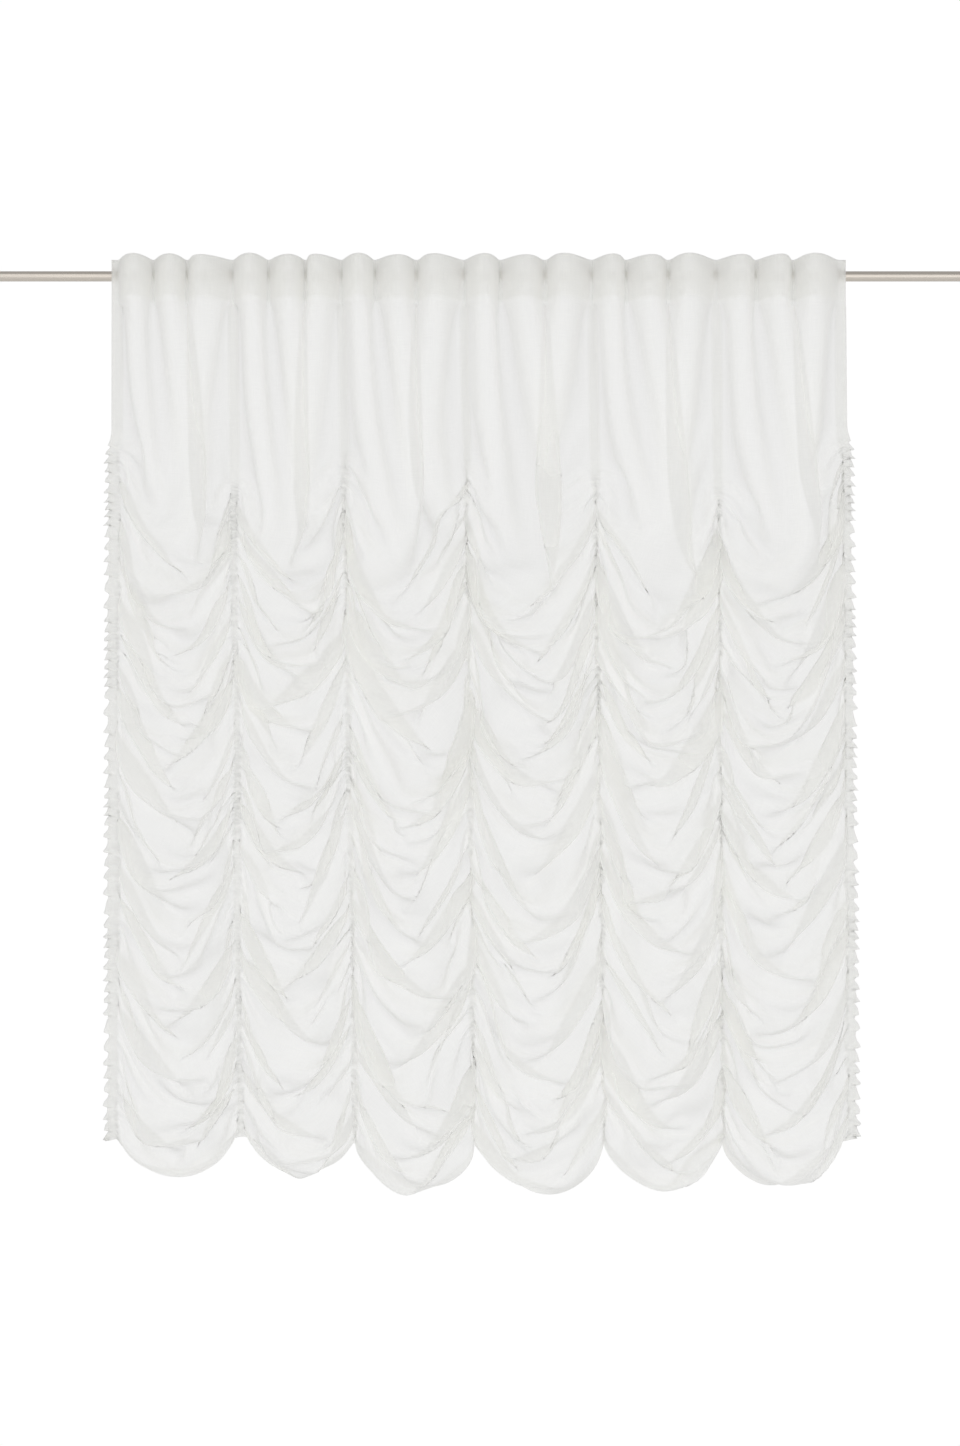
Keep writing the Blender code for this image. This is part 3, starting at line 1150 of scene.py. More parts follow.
@cache
def plain_weave_group() -> bpy.types.NodeTree:
    """Threads that pass over and under each other, with slubs where they run thick.

    Returns:
        A group that reads a place on the cloth in metres and puts out the height of the
        threads, and a cover from 0 to 1 that is high where the weave is dense.
    """
    number = "NodeSocketFloat"
    group = new_group(
        "plain weave",
        "ShaderNodeTree",
        (
            SocketPlan("Place", "NodeSocketVector"),
            SocketPlan("Thread Pitch", number, 0.0005),
            SocketPlan("Slub Length", number, 0.05),
            SocketPlan("Slub Width", number, 0.0015),
            SocketPlan("Height", number, is_output=True),
            SocketPlan("Cover", number, is_output=True),
        ),
    )
    sheet = NodeSheet(group)
    given = sheet.add("NodeGroupInput").outputs
    parts = sheet.add("ShaderNodeSeparateXYZ", {0: given["Place"]}).outputs
    turn = sheet.number("DIVIDE", 2.0 * math.pi, given["Thread Pitch"])
    warp = sheet.number("SINE", sheet.number("MULTIPLY", parts[0], turn))
    weft = sheet.number("SINE", sheet.number("MULTIPLY", parts[1], turn))
    height = sheet.number("MULTIPLY", warp, weft)
    covers = []
    for first, second in ((0, 1), (1, 0)):
        thin = sheet.number("DIVIDE", parts[first], given["Slub Width"])
        long = sheet.number("DIVIDE", parts[second], given["Slub Length"])
        place = sheet.add("ShaderNodeCombineXYZ", {0: thin, 1: long, 2: float(first)})
        noise = sheet.add(
            "ShaderNodeTexNoise", {"Vector": place.outputs[0], "Scale": 1.0, "Detail": 2.0}
        )
        covers.append(noise.outputs[0])
    cover = sheet.number("MULTIPLY", sheet.number("ADD", covers[0], covers[1]), 0.5)
    raised = sheet.number("ADD", sheet.number("MULTIPLY", height, 0.5), cover)
    sheet.add("NodeGroupOutput", {"Height": raised, "Cover": cover})
    return group


@cache
def crumple_group() -> bpy.types.NodeTree:
    """Small soft creases in cloth, with finer ones between them.

    Returns:
        A group that reads a place on the cloth in metres and puts out a height.
    """
    number = "NodeSocketFloat"
    group = new_group(
        "crumple",
        "ShaderNodeTree",
        (
            SocketPlan("Place", "NodeSocketVector"),
            SocketPlan("Crease Spacing", number, 0.02),
            SocketPlan("Height", number, is_output=True),
        ),
    )
    sheet = NodeSheet(group)
    given = sheet.add("NodeGroupInput").outputs
    scale = sheet.number("DIVIDE", 1.0, given["Crease Spacing"])
    noise = sheet.add(
        "ShaderNodeTexNoise",
        {"Vector": given["Place"], "Scale": scale, "Detail": 3.0, "Distortion": 0.6},
    )
    ridge = sheet.number("ABSOLUTE", sheet.number("SUBTRACT", noise.outputs[0], 0.5))
    sheet.add("NodeGroupOutput", {"Height": sheet.number("MULTIPLY", ridge, -2.0)})
    return group


def new_material(name: str) -> tuple[bpy.types.Material, NodeSheet]:
    """An empty node material and the sheet of its nodes.

    Args:
        name: The material's name.

    Returns:
        The material and its node sheet.
    """
    material = bpy.data.materials.new(name)
    material.use_nodes = True
    material.node_tree.nodes.clear()
    return material, NodeSheet(material.node_tree)


@dataclass(frozen=True)
class WovenFinish:
    """A thin woven cloth or tape, partly see-through.

    Attributes:
        name: The material's name.
        colour: Colour of the thread.
        cover: Share of the face that thread covers, seen square on.
        cover_waver: How much the slubs change that share.
        through: Share of the light on the thread that comes through it.
        thread_pitch: Distance between threads.
        thread_height: How far threads stand out.
        slub_length: Length of a slub.
        slub_width: Width of a slub.
        crease_spacing: Distance between small creases.
        crease_height: Depth of small creases where the cloth is plain.
        gathered_height: Depth of small creases where it is gathered.
        flat: Flat width and length that its UV map covers.
        dark_thread: Brightness of the thread where the weave is open.
        roughness: Roughness of the thread.
        specular: How much it shines.
        sheen: Strength of the soft sheen of its fibres.
        least_upright: How upright a view counts as at least, from 0 to 1.
    """

    name: str
    colour: tuple[float, float, float]
    cover: float
    cover_waver: float
    through: float
    thread_pitch: float
    thread_height: float
    slub_length: float
    slub_width: float
    crease_spacing: float
    crease_height: float
    gathered_height: float
    flat: tuple[float, float]
    dark_thread: float = 0.985
    roughness: float = 0.85
    specular: float = 0.25
    sheen: float = 0.08
    least_upright: float = 0.40

    def cover_by_slant(self, sheet: NodeSheet, cover: object) -> bpy.types.NodeSocket:
        """Cover of a weave that is seen at a slant, where more thread stands in the way.

        Args:
            sheet: The node sheet of the material.
            cover: Output of the cover seen square on.

        Returns:
            The output of the cover.
        """
        facing = sheet.add("ShaderNodeLayerWeight", {"Blend": 0.5}).outputs["Facing"]
        upright = sheet.number("SUBTRACT", 1.0, facing)
        upright = sheet.number("MAXIMUM", upright, self.least_upright)
        gap = sheet.number("SUBTRACT", 1.0, cover)
        seen = sheet.number("POWER", gap, sheet.number("DIVIDE", 1.0, upright))
        return sheet.number("SUBTRACT", 1.0, seen)

    def material(self) -> bpy.types.Material:
        """Build the material.

        Returns:
            The material.
        """
        made, sheet = new_material(self.name)
        uv = sheet.add("ShaderNodeUVMap", uv_map="flat")
        scale = (self.flat[0], self.flat[1], 1.0)
        place = sheet.add("ShaderNodeMapping", {"Vector": uv.outputs[0], "Scale": scale})
        weave = sheet.add(
            "ShaderNodeGroup",
            {
                "Place": place.outputs[0],
                "Thread Pitch": self.thread_pitch,
                "Slub Length": self.slub_length,
                "Slub Width": self.slub_width,
            },
            node_tree=plain_weave_group(),
        )
        crease = sheet.add(
            "ShaderNodeGroup",
            {"Place": place.outputs[0], "Crease Spacing": self.crease_spacing},
            node_tree=crumple_group(),
        )
        gathered = sheet.add("ShaderNodeAttribute", attribute_name="gathered").outputs["Fac"]
        depth = sheet.add(
            "ShaderNodeMapRange",
            {"Value": gathered, "To Min": self.crease_height, "To Max": self.gathered_height},
        )
        creases = sheet.number("MULTIPLY", crease.outputs[0], depth.outputs[0])
        threads = sheet.number("MULTIPLY", weave.outputs["Height"], self.thread_height)
        bump = sheet.add(
            "ShaderNodeBump",
            {"Height": sheet.number("ADD", creases, threads), "Distance": 1.0, "Strength": 1.0},
        )
        waver = sheet.number("SUBTRACT", weave.outputs["Cover"], 0.5)
        cover = sheet.add(
            "ShaderNodeMath",
            {0: waver, 1: self.cover_waver, 2: self.cover},
            operation="MULTIPLY_ADD",
        ).outputs[0]
        colour = sheet.tint(weave.outputs["Cover"], self.colour, self.dark_thread, 1.0)
        face = sheet.add(
            "ShaderNodeBsdfPrincipled",
            {
                "Base Color": colour,
                "Roughness": self.roughness,
                "Normal": bump.outputs[0],
                "Specular IOR Level": self.specular,
                "Sheen Weight": self.sheen,
            },
        )
        glow = sheet.add("ShaderNodeBsdfTranslucent", {"Color": colour, "Normal": bump.outputs[0]})
        thread = sheet.add(
            "ShaderNodeMixShader", {0: self.through, 1: face.outputs[0], 2: glow.outputs[0]}
        )
        clear = sheet.add("ShaderNodeBsdfTransparent")
        share = self.cover_by_slant(sheet, cover)
        surface = sheet.add(
            "ShaderNodeMixShader", {0: share, 1: clear.outputs[0], 2: thread.outputs[0]}
        )
        sheet.add("ShaderNodeOutputMaterial", {"Surface": surface.outputs[0]})
        return made


@dataclass(frozen=True)
class ThreadFinish:
    """White sewing thread with its twist, and shade painted into the grooves between its turns.

    Attributes:
        name: The material's name.
        colour: Its colour.
        roughness: Its roughness.
        twist_scale: Scale of the bands that stand for its twist.
        twist_depth: Depth of the twist.
        twist_groove_shade: Brightness of the painted shade between the turns of the twist, in its
            grooves.
    """

    name: str = "sewing_thread"
    colour: tuple[float, float, float] = (0.96, 0.96, 0.945)
    roughness: float = 0.55
    twist_scale: float = 71.42857
    twist_depth: float = 0.00005
    twist_groove_shade: float = 0.92

    def material(self) -> bpy.types.Material:
        """Build the material.

        Returns:
            The material.
        """
        made, sheet = new_material(self.name)
        place = sheet.add("ShaderNodeTexCoord").outputs["Object"]
        twist = sheet.add(
            "ShaderNodeTexWave",
            {"Vector": place, "Scale": self.twist_scale, "Distortion": 0.5},
            bands_direction="DIAGONAL",
        ).outputs["Fac"]
        bump = sheet.add("ShaderNodeBump", {"Height": twist, "Distance": self.twist_depth})
        # Base colour darkened between the turns of the twist: painted shade in its grooves.
        shader = sheet.add(
            "ShaderNodeBsdfPrincipled",
            {
                "Base Color": sheet.tint(twist, self.colour, self.twist_groove_shade, 1.0),
                "Normal": bump.outputs[0],
                "Roughness": self.roughness,
            },
        )
        sheet.add("ShaderNodeOutputMaterial", {"Surface": shader.outputs[0]})
        return made


@dataclass(frozen=True)
class MetalFinish:
    """Satin metal, brushed round the rod.

    Attributes:
        colour: Its colour.
        dark_line: Brightness of the darkest brush lines.
        bright_line: Brightness of the brightest.
        smoothest: Roughness of its smoothest patches.
        roughest: Roughness of its roughest patches.
        brush_scales: Scale of the brush lines along and across the rod.
        brush_depth: Depth of a brush line.
    """

    colour: tuple[float, float, float] = (0.57, 0.525, 0.47)
    dark_line: float = 0.93
    bright_line: float = 1.05
    smoothest: float = 0.22
    roughest: float = 0.36
    brush_scales: tuple[float, float, float] = (1.0 / 0.0006, 18.0, 18.0)
    brush_depth: float = 0.00002

    def material(self) -> bpy.types.Material:
        """Build the material.

        Returns:
            The material.
        """
        made, sheet = new_material("satin_metal")
        place = sheet.add("ShaderNodeTexCoord").outputs["Object"]
        lines = sheet.add("ShaderNodeMapping", {"Vector": place, "Scale": self.brush_scales})
        brush = sheet.add(
            "ShaderNodeTexNoise", {"Vector": lines.outputs[0], "Scale": 1.0, "Detail": 3.0}
        ).outputs[0]
        cloud = sheet.add("ShaderNodeTexNoise", {"Vector": place, "Scale": 7.0, "Detail": 4.0})
        rough = sheet.add(
            "ShaderNodeMapRange",
            {"Value": cloud.outputs[0], "To Min": self.smoothest, "To Max": self.roughest},
        )
        bump = sheet.add("ShaderNodeBump", {"Height": brush, "Distance": self.brush_depth})
        shader = sheet.add(
            "ShaderNodeBsdfPrincipled",
            {
                "Base Color": sheet.tint(brush, self.colour, self.dark_line, self.bright_line),
                "Roughness": rough.outputs[0],
                "Normal": bump.outputs[0],
                "Metallic": 1.0,
            },
        )
        sheet.add("ShaderNodeOutputMaterial", {"Surface": shader.outputs[0]})
        return made


def link_object(name: str, data: bpy.types.ID) -> bpy.types.Object:
    """Link data to the scene as a named object at the origin.

    Args:
        name: The object's name.
        data: Its mesh, curve, light or camera.

    Returns:
        The object.
    """
    made = bpy.data.objects.new(name, data)
    bpy.context.scene.collection.objects.link(made)
    return made


def dress(piece: bpy.types.Object, nodes: Sequence[str]) -> None:
    """Say what a finished piece rides on and the solids that it stands for.

    Args:
        piece: The piece.
        nodes: The nodes of the solids, or none.
    """
    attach(piece, "root")
    if nodes:
        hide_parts(*nodes)
    LOG.info("%s: %d faces", piece.name, len(piece.data.polygons))


def grid_mesh(name: str, points: np.ndarray, flat: np.ndarray) -> bpy.types.Mesh:
    """A mesh of quads on a grid, facing the front of the cloth.

    Args:
        name: The mesh's name.
        points: Rows by columns by three coordinates.
        flat: Rows by columns by two shares of the flat cut, for the UV map.

    Returns:
        The mesh.
    """
    rows, columns = points.shape[:2]
    index = np.arange(rows * columns).reshape(rows, columns)
    quads = np.stack([index[:-1, :-1], index[1:, :-1], index[1:, 1:], index[:-1, 1:]], -1)
    mesh = bpy.data.meshes.new(name)
    mesh.from_pydata(points.reshape(-1, 3).tolist(), [], quads.reshape(-1, 4).tolist())
    corners = np.zeros(len(mesh.loops), np.int32)
    mesh.loops.foreach_get("vertex_index", corners)
    layer = mesh.uv_layers.new(name="flat")
    layer.data.foreach_set("uv", flat.reshape(-1, 2)[corners].astype(np.float32).ravel())
    mesh.shade_smooth()
    return mesh


def applied(piece: bpy.types.Object) -> bpy.types.Object:
    """Keep the result of an object's modifiers as a plain mesh in its place.

    Args:
        piece: An object with modifiers, which is taken away.

    Returns:
        The object of the same name that holds the result.
    """
    graph = bpy.context.evaluated_depsgraph_get()
    mesh = bpy.data.meshes.new_from_object(piece.evaluated_get(graph))
    name = piece.name
    bpy.data.objects.remove(piece)
    made = link_object(name, mesh)
    mesh.name = name
    return made


def through_nodes(
    piece: bpy.types.Object, group: bpy.types.NodeTree, values: dict[str, object]
) -> bpy.types.Object:
    """Run a Geometry Nodes group on an object.

    Args:
        piece: An object whose data feeds the group, which is taken away.
        group: The Geometry Nodes group.
        values: The value of each input, by its name.

    Returns:
        The object that holds the result as its plain mesh.
    """
    modifier = piece.modifiers.new("repeat", "NODES")
    modifier.node_group = group
    for socket in group.interface.items_tree:
        if socket.item_type == "SOCKET" and socket.name in values:
            modifier[socket.identifier] = values[socket.name]
    return applied(piece)


def polyline_object(name: str, lines: Sequence[np.ndarray]) -> bpy.types.Object:
    """A curve object with one straight-sided spline for each line of points.

    Args:
        name: The object's name.
        lines: Points of each line.

    Returns:
        The curve object.
    """
    curve = bpy.data.curves.new(name, "CURVE")
    curve.dimensions = "3D"
    for line in lines:
        spline = curve.splines.new("POLY")
        spline.points.add(len(line) - 1)
        four = np.ones((len(line), 4), np.float32)
        four[:, :3] = line
        spline.points.foreach_set("co", four.ravel())
    return link_object(name, curve)


@cache
def stitch_nodes() -> bpy.types.NodeTree:
    """Geometry Nodes group that sews stitches of uneven length along each curve.

    Returns:
        The group.
    """
    number = "NodeSocketFloat"
    shortest, longest = 0.85, 1.12
    group = new_group(
        "row of stitches",
        "GeometryNodeTree",
        (
            SocketPlan("Rows", "NodeSocketGeometry"),
            SocketPlan("Pitch", number, 0.004),
            SocketPlan("Stitch Length", number, 0.0027),
            SocketPlan("Thread Radius", number, 0.0003),
            SocketPlan("Thread", "NodeSocketMaterial"),
            SocketPlan("Stitches", "NodeSocketGeometry", is_output=True),
        ),
    )
    sheet = NodeSheet(group)
    given = sheet.add("NodeGroupInput").outputs
    rows = sheet.add(
        "GeometryNodeResampleCurve",
        {"Curve": given["Rows"], "Length": given["Pitch"]},
        mode="LENGTH",
    )
    ball = sheet.add("GeometryNodeMeshIcoSphere", {"Radius": 1.0, "Subdivisions": 1})
    along = sheet.add("GeometryNodeInputTangent").outputs[0]
    turned = sheet.add("FunctionNodeAlignRotationToVector", {"Vector": along}, axis="X")
    chance = sheet.add(
        "FunctionNodeRandomValue", {2: shortest, 3: longest, "Seed": 5}, data_type="FLOAT"
    )
    half = sheet.number("MULTIPLY", given["Stitch Length"], 0.5)
    long = sheet.number("MULTIPLY", half, chance.outputs[1])
    size = sheet.add(
        "ShaderNodeCombineXYZ",
        {0: long, 1: given["Thread Radius"], 2: given["Thread Radius"]},
    )
    sewn = sheet.add(
        "GeometryNodeInstanceOnPoints",
        {
            "Points": rows.outputs[0],
            "Instance": ball.outputs[0],
            "Rotation": turned.outputs[0],
            "Scale": size.outputs[0],
        },
    )
    real = sheet.add("GeometryNodeRealizeInstances", {0: sewn.outputs[0]})
    soft = sheet.add("GeometryNodeSetShadeSmooth", {0: real.outputs[0]})
    dyed = sheet.add(
        "GeometryNodeSetMaterial", {"Geometry": soft.outputs[0], "Material": given["Thread"]}
    )
    sheet.add("NodeGroupOutput", {0: dyed.outputs[0]})
    return group


@cache
def strap_nodes() -> bpy.types.NodeTree:
    """Geometry Nodes group that puts a strap, bent along a path, at each point.

    Returns:
        The group.
    """
    number = "NodeSocketFloat"
    group = new_group(
        "straps on points",
        "GeometryNodeTree",
        (
            SocketPlan("Places", "NodeSocketGeometry"),
            SocketPlan("Path", "NodeSocketObject"),
            SocketPlan("Width", number, 0.010),
            SocketPlan("Thickness", number, 0.0008),
            SocketPlan("Tape", "NodeSocketMaterial"),
            SocketPlan("Straps", "NodeSocketGeometry", is_output=True),
        ),
    )
    sheet = NodeSheet(group)
    given = sheet.add("NodeGroupInput").outputs
    path = sheet.add("GeometryNodeObjectInfo", {"Object": given["Path"]})
    section = sheet.add(
        "GeometryNodeCurvePrimitiveQuadrilateral",
        {"Width": given["Thickness"], "Height": given["Width"]},
    )
    strap = sheet.add(
        "GeometryNodeCurveToMesh",
        {
            "Curve": path.outputs["Geometry"],
            "Profile Curve": section.outputs[0],
            "Fill Caps": True,
        },
    )
    placed = sheet.add(
        "GeometryNodeInstanceOnPoints",
        {"Points": given["Places"], "Instance": strap.outputs[0]},
    )
    real = sheet.add("GeometryNodeRealizeInstances", {0: placed.outputs[0]})
    dyed = sheet.add(
        "GeometryNodeSetMaterial", {"Geometry": real.outputs[0], "Material": given["Tape"]}
    )
    sheet.add("NodeGroupOutput", {0: dyed.outputs[0]})
    return group


@dataclass
class VoilePanel:
    """The one cut of voile: settled, with its edges turned under.

    Attributes:
        sizes: Sizes of the hung curtain.
        cut: Its flat cut.
        settling: How it hangs.
        finish: Its finish.
        turned_gap: Distance between the cloth and what is turned under.
        fold_share: Share of the first row or column at which a fold is tight.
        top_rows: Rows of the grid turned down at the top.
        hem_rows: Rows of the grid turned up at the hem.
        side_columns: Columns of the grid turned in at each side.
        gathered_reach: Flat distance from a seam over which small creases fade.
        gathered_ease: Flat length over which they set in below the plain cloth.
    """

    sizes: HangingSizes
    cut: ClothCut
    settling: Settling
    finish: WovenFinish
    turned_gap: float = 0.0008
    fold_share: float = 0.08
    top_rows: int = 1
    hem_rows: int = 2
    side_columns: int = 2
    gathered_reach: float = 0.06
    gathered_ease: float = 0.15

    def turned(self, grid: ClothGrid, axis: int, at_start: bool, kept: list[int]) -> ClothGrid:
        """The grid with one edge folded over to its back, in a tight fold.

        Args:
            grid: The grid to extend.
            axis: 0 for the top or the hem, 1 for a side.
            at_start: Whether the edge is the first row or column.
            kept: Numbers of the rows or columns that are repeated on the back.

        Returns:
            The longer or wider grid.
        """
        points = np.moveaxis(grid.points, axis, 0)
        back = np.moveaxis(grid.back_normals(), axis, 0)
        flat = grid.down if axis == 0 else grid.across
        if not at_start:
            points, back, flat = points[::-1], back[::-1], flat[::-1]
        near = mix(points[:1], points[1:2], self.fold_share)
        folded = points[kept] + self.turned_gap * back[kept]
        near_folded = near + self.turned_gap * back[:1]
        edge = points[:1] + 0.5 * self.turned_gap * back[:1]
        points = np.concatenate([folded[::-1], near_folded, edge, near, points[1:]])
        step = self.fold_share * (flat[1] - flat[0])
        turned = (2 * flat[0] - flat[kept])[::-1]
        middle = [flat[0] - step, flat[0], flat[0] + step]
        flat = np.concatenate([turned, middle, flat[1:]])
        if not at_start:
            points, flat = points[::-1], flat[::-1]
        points = np.moveaxis(points, 0, axis)
        moved = len(kept) + 2 if axis == 1 and at_start else 0
        seams = [seam + moved for seam in grid.seams]
        down, across = (flat, grid.across) if axis == 0 else (grid.down, flat)
        return ClothGrid(points, across, down, seams)

    def gathered_share(self, grid: ClothGrid) -> np.ndarray:
        """How gathered the cloth is at each point, from 0 to 1.

        Args:
            grid: The grid.

        Returns:
            Rows by columns of shares.
        """
        near = np.full(grid.points.shape[:2], 1e9)
        for column in grid.seams:
            away = np.abs(grid.across - grid.across[column])[None, :]
            near = np.minimum(near, away)
        share = np.exp(-near / self.gathered_reach)
        start = self.sizes.heading_top - max(seam.gather_start for seam in SEAMS)
        below = np.clip((grid.down - start) / self.gathered_ease, 0.0, 1.0)
        return share * below[:, None]

    def build(self) -> tuple[bpy.types.Object, ClothGrid]:
        """Settle the cloth, turn its edges and make its mesh.

        Returns:
            The piece, and the grid without its turned edges.
        """
        settled = self.settling.settle()
        sides = list(range(1, self.side_columns + 1))
        grid = self.turned(settled, 0, True, list(range(1, self.top_rows + 1)))
        grid = self.turned(grid, 0, False, list(range(1, self.hem_rows + 1)))
        grid = self.turned(grid, 1, True, sides)
        grid = self.turned(grid, 1, False, sides)
        width = grid.across[-1] - grid.across[0]
        length = grid.down[-1] - grid.down[0]
        u = (grid.across - grid.across[0]) / width
        v = (grid.down - grid.down[0]) / length
        flat = np.stack(np.meshgrid(u, v), -1)
        mesh = grid_mesh("voile_panel", grid.points, flat)
        layer = mesh.attributes.new("gathered", "FLOAT", "POINT")
        layer.data.foreach_set("value", self.gathered_share(grid).astype(np.float32).ravel())
        piece = link_object("voile_panel", mesh)
        mesh.materials.append(self.finish.material())
        dress(piece, ["cloth_panel"])
        return piece, settled


@dataclass
class TapeWork:
    """The heading tape, its loops and the drawn tapes, all sewn behind the cloth.

    Attributes:
        sizes: Sizes of the hung curtain.
        grid: The settled cloth.
        finish: Finish of the heading tape and its loops.
        narrow_finish: Finish of the drawn tapes.
        heading_lift: Distance of the heading tape behind the cloth.
        heading_inset: Distance of its edges from those of the heading band.
        drawn_lift: Distance of the drawn tapes behind the cloth.
        drawn_width: Width of a drawn tape.
        drawn_end: Flat distance of its lower end from the hem.
        loop_width: Width of a loop.
        loop_thickness: Thickness of a loop.
        loop_clearance: Space between a loop and the rod.
        arc_steps: Steps of a loop's path round the rod.
        heading_rows: Rows of points in the heading tape.
        drawn_columns: Columns of faces in a drawn tape.
        fine: How many times finer the tapes are than the cloth along their length.
    """

    sizes: HangingSizes
    grid: ClothGrid
    finish: WovenFinish
    narrow_finish: WovenFinish
    heading_lift: float = 0.0018
    heading_inset: float = 0.0035
    drawn_lift: float = 0.0014
    drawn_width: float = 0.020
    drawn_end: float = 0.012
    loop_width: float = 0.010
    loop_thickness: float = 0.0009
    loop_clearance: float = 0.0004
    arc_steps: int = 20
    heading_rows: int = 20
    drawn_columns: int = 6
    fine: int = 2

    def strip(
        self, name: str, u: np.ndarray, v: np.ndarray, lift: float, finish: WovenFinish
    ) -> bpy.types.Object:
        """A strip of tape behind the cloth, over the given flat places.

        Args:
            name: The piece's name.
            u: Flat places of its columns.
            v: Flat places of its rows.
            lift: Distance behind the cloth.
            finish: Its finish.

        Returns:
            The piece.
        """
        across, down = np.meshgrid(u, v)
        points = self.grid.place(across.ravel(), down.ravel(), Side.BACK, lift)
        flat = np.stack([across - u[0], down - v[0]], -1) / np.array(finish.flat)
        mesh = grid_mesh(name, points.reshape(len(v), len(u), 3), flat)
        piece = link_object(name, mesh)
        mesh.materials.append(bpy.data.materials[finish.name])
        return piece

    def heading_tape(self) -> bpy.types.Object:
        """The tape along the back of the heading band.

        Returns:
            The piece.
        """
        across = self.grid.across
        u = np.linspace(across[1], across[-2], self.fine * len(across))
        top = self.heading_inset
        v = np.linspace(top, self.sizes.heading_depth - top, self.heading_rows)
        piece = self.strip("heading_tape_woven", u, v, self.heading_lift, self.finish)
        dress(piece, ["heading_tape"])
        return piece

    def drawn_tape(self, number: int) -> bpy.types.Object:
        """The narrow tape down the back of one seam.

        Args:
            number: Number of the seam.

        Returns:
            The piece.
        """
        middle = self.grid.across[self.grid.seams[number]]
        half = self.drawn_width / 2
        low = max(self.grid.across[0], middle - half)
        high = min(self.grid.across[-1], middle + half)
        u = np.linspace(low, high, self.drawn_columns + 1)
        length = self.grid.down[-1]
        rows = self.fine * len(self.grid.down)
        v = np.linspace(self.sizes.heading_depth, length - self.drawn_end, rows)
        name = f"drawn_tape_{number + 1}"
        piece = self.strip(name, u, v, self.drawn_lift, self.narrow_finish)
        dress(piece, [f"gather_tape_{number + 1}"])
        return piece

    def loop_path(self) -> bpy.types.Object:
        """Path of a loop in the YZ plane: over the rod, round it and forward under it.

        Returns:
            A curve object.
        """
        radius = self.sizes.rod_radius + self.loop_clearance + self.loop_thickness / 2
        front = self.sizes.seam_y + self.heading_lift + self.loop_thickness
        points = [(0.0, front, radius)]
        for step in range(self.arc_steps + 1):
            angle = math.pi * (0.5 - step / self.arc_steps)
            points.append((0.0, radius * math.cos(angle), radius * math.sin(angle)))
        points.append((0.0, front, -radius))
        return polyline_object("loop_path", [np.array(points)])

    def loops(self) -> bpy.types.Object:
        """All woven loops round the rod, as one mesh.

        Returns:
            The piece.
        """
        places = self.sizes.loop_places()
        mesh = bpy.data.meshes.new("rod_loops")
        mesh.from_pydata([(x, 0.0, 0.0) for x in places], [], [])
        path = self.loop_path()
        values = {
            "Path": path,
            "Width": self.loop_width,
            "Thickness": self.loop_thickness,
            "Tape": bpy.data.materials[self.finish.name],
        }
        piece = through_nodes(link_object("rod_loops", mesh), strap_nodes(), values)
        bpy.data.objects.remove(path)
        nodes = [f"tape_loop_{number:02d}" for number in range(1, len(places) + 1)]
        dress(piece, nodes)
        return piece

    def build(self) -> list[bpy.types.Object]:
        """Make all tapes and loops.

        Returns:
            The pieces.
        """
        self.finish.material()
        self.narrow_finish.material()
        made = [self.heading_tape(), self.loops()]
        return made + [self.drawn_tape(number) for number in range(len(SEAMS))]


@dataclass
class StitchWork:
    """All rows of stitches that show on the front of the cloth.

    Attributes:
        sizes: Sizes of the hung curtain.
        grid: The settled cloth.
        finish: Finish of the thread.
        lift: Distance of the thread's middle from the cloth.
        pitch: Distance from stitch to stitch.
        stitch_length: Length of a stitch.
        thread_radius: Radius of the thread.
        tape_inset: Distance of the seam rows from the middle of a drawn tape.
        edge_inset: Distance of the heading rows from the edges of the band.
        hem_inset: Distance of the hem's row from the hem.
        side_inset: Distance of the side rows from the side edges.
        path_step: Distance between the points of the line that a row follows.
    """

    sizes: HangingSizes
    grid: ClothGrid
    finish: ThreadFinish
    lift: float = 0.0003
    pitch: float = 0.0042
    stitch_length: float = 0.0028
    thread_radius: float = 0.00015
    tape_inset: float = 0.008
    edge_inset: float = 0.005
    hem_inset: float = 0.016
    side_inset: float = 0.007
    path_step: float = 0.002

    def line(self, u: tuple[float, float], v: tuple[float, float]) -> np.ndarray:
        """Points over the front of the cloth along a straight line of its flat cut.

        Args:
            u: Flat places across of its two ends.
            v: Flat places down of its two ends.

        Returns:
            One point for each step.
        """
        reach = math.hypot(u[1] - u[0], v[1] - v[0])
        steps = max(2, round(reach / self.path_step))
        across = np.linspace(u[0], u[1], steps)
        down = np.linspace(v[0], v[1], steps)
        return self.grid.place(across, down, Side.FRONT, self.lift)

    def sew(self, name: str, lines: Sequence[np.ndarray]) -> bpy.types.Object:
        """Sew rows of stitches along lines as one piece.

        Args:
            name: The piece's name.
            lines: Points of each row's line.

        Returns:
            The piece.
        """
        values = {
            "Pitch": self.pitch,
            "Stitch Length": self.stitch_length,
            "Thread Radius": self.thread_radius,
            "Thread": bpy.data.materials[self.finish.name],
        }
        piece = through_nodes(polyline_object(name, lines), stitch_nodes(), values)
        dress(piece, [])
        return piece

    def build(self) -> list[bpy.types.Object]:
        """Sew the heading, the seams and the hems.

        Returns:
            The pieces.
        """
        self.finish.material()
        left, right = self.grid.across[0], self.grid.across[-1]
        length = self.grid.down[-1]
        band = self.sizes.heading_depth
        heading = [
            self.line((left, right), (place, place))
            for place in (self.edge_inset, band - self.edge_inset)
        ]
        made = [self.sew("heading_stitches", heading)]
        for number, column in enumerate(self.grid.seams):
            middle = self.grid.across[column]
            rows = [
                self.line((middle + side, middle + side), (band, length))
                for side in (-self.tape_inset, self.tape_inset)
            ]
            made.append(self.sew(f"seam_stitches_{number + 1}", rows))
        hem = length - self.hem_inset
        low, high = left + self.side_inset, right - self.side_inset
        hems = [
            self.line((left, right), (hem, hem)),
            self.line((low, low), (band, length)),
            self.line((high, high), (band, length)),
        ]
        made.append(self.sew("hem_stitches", hems))
        return made


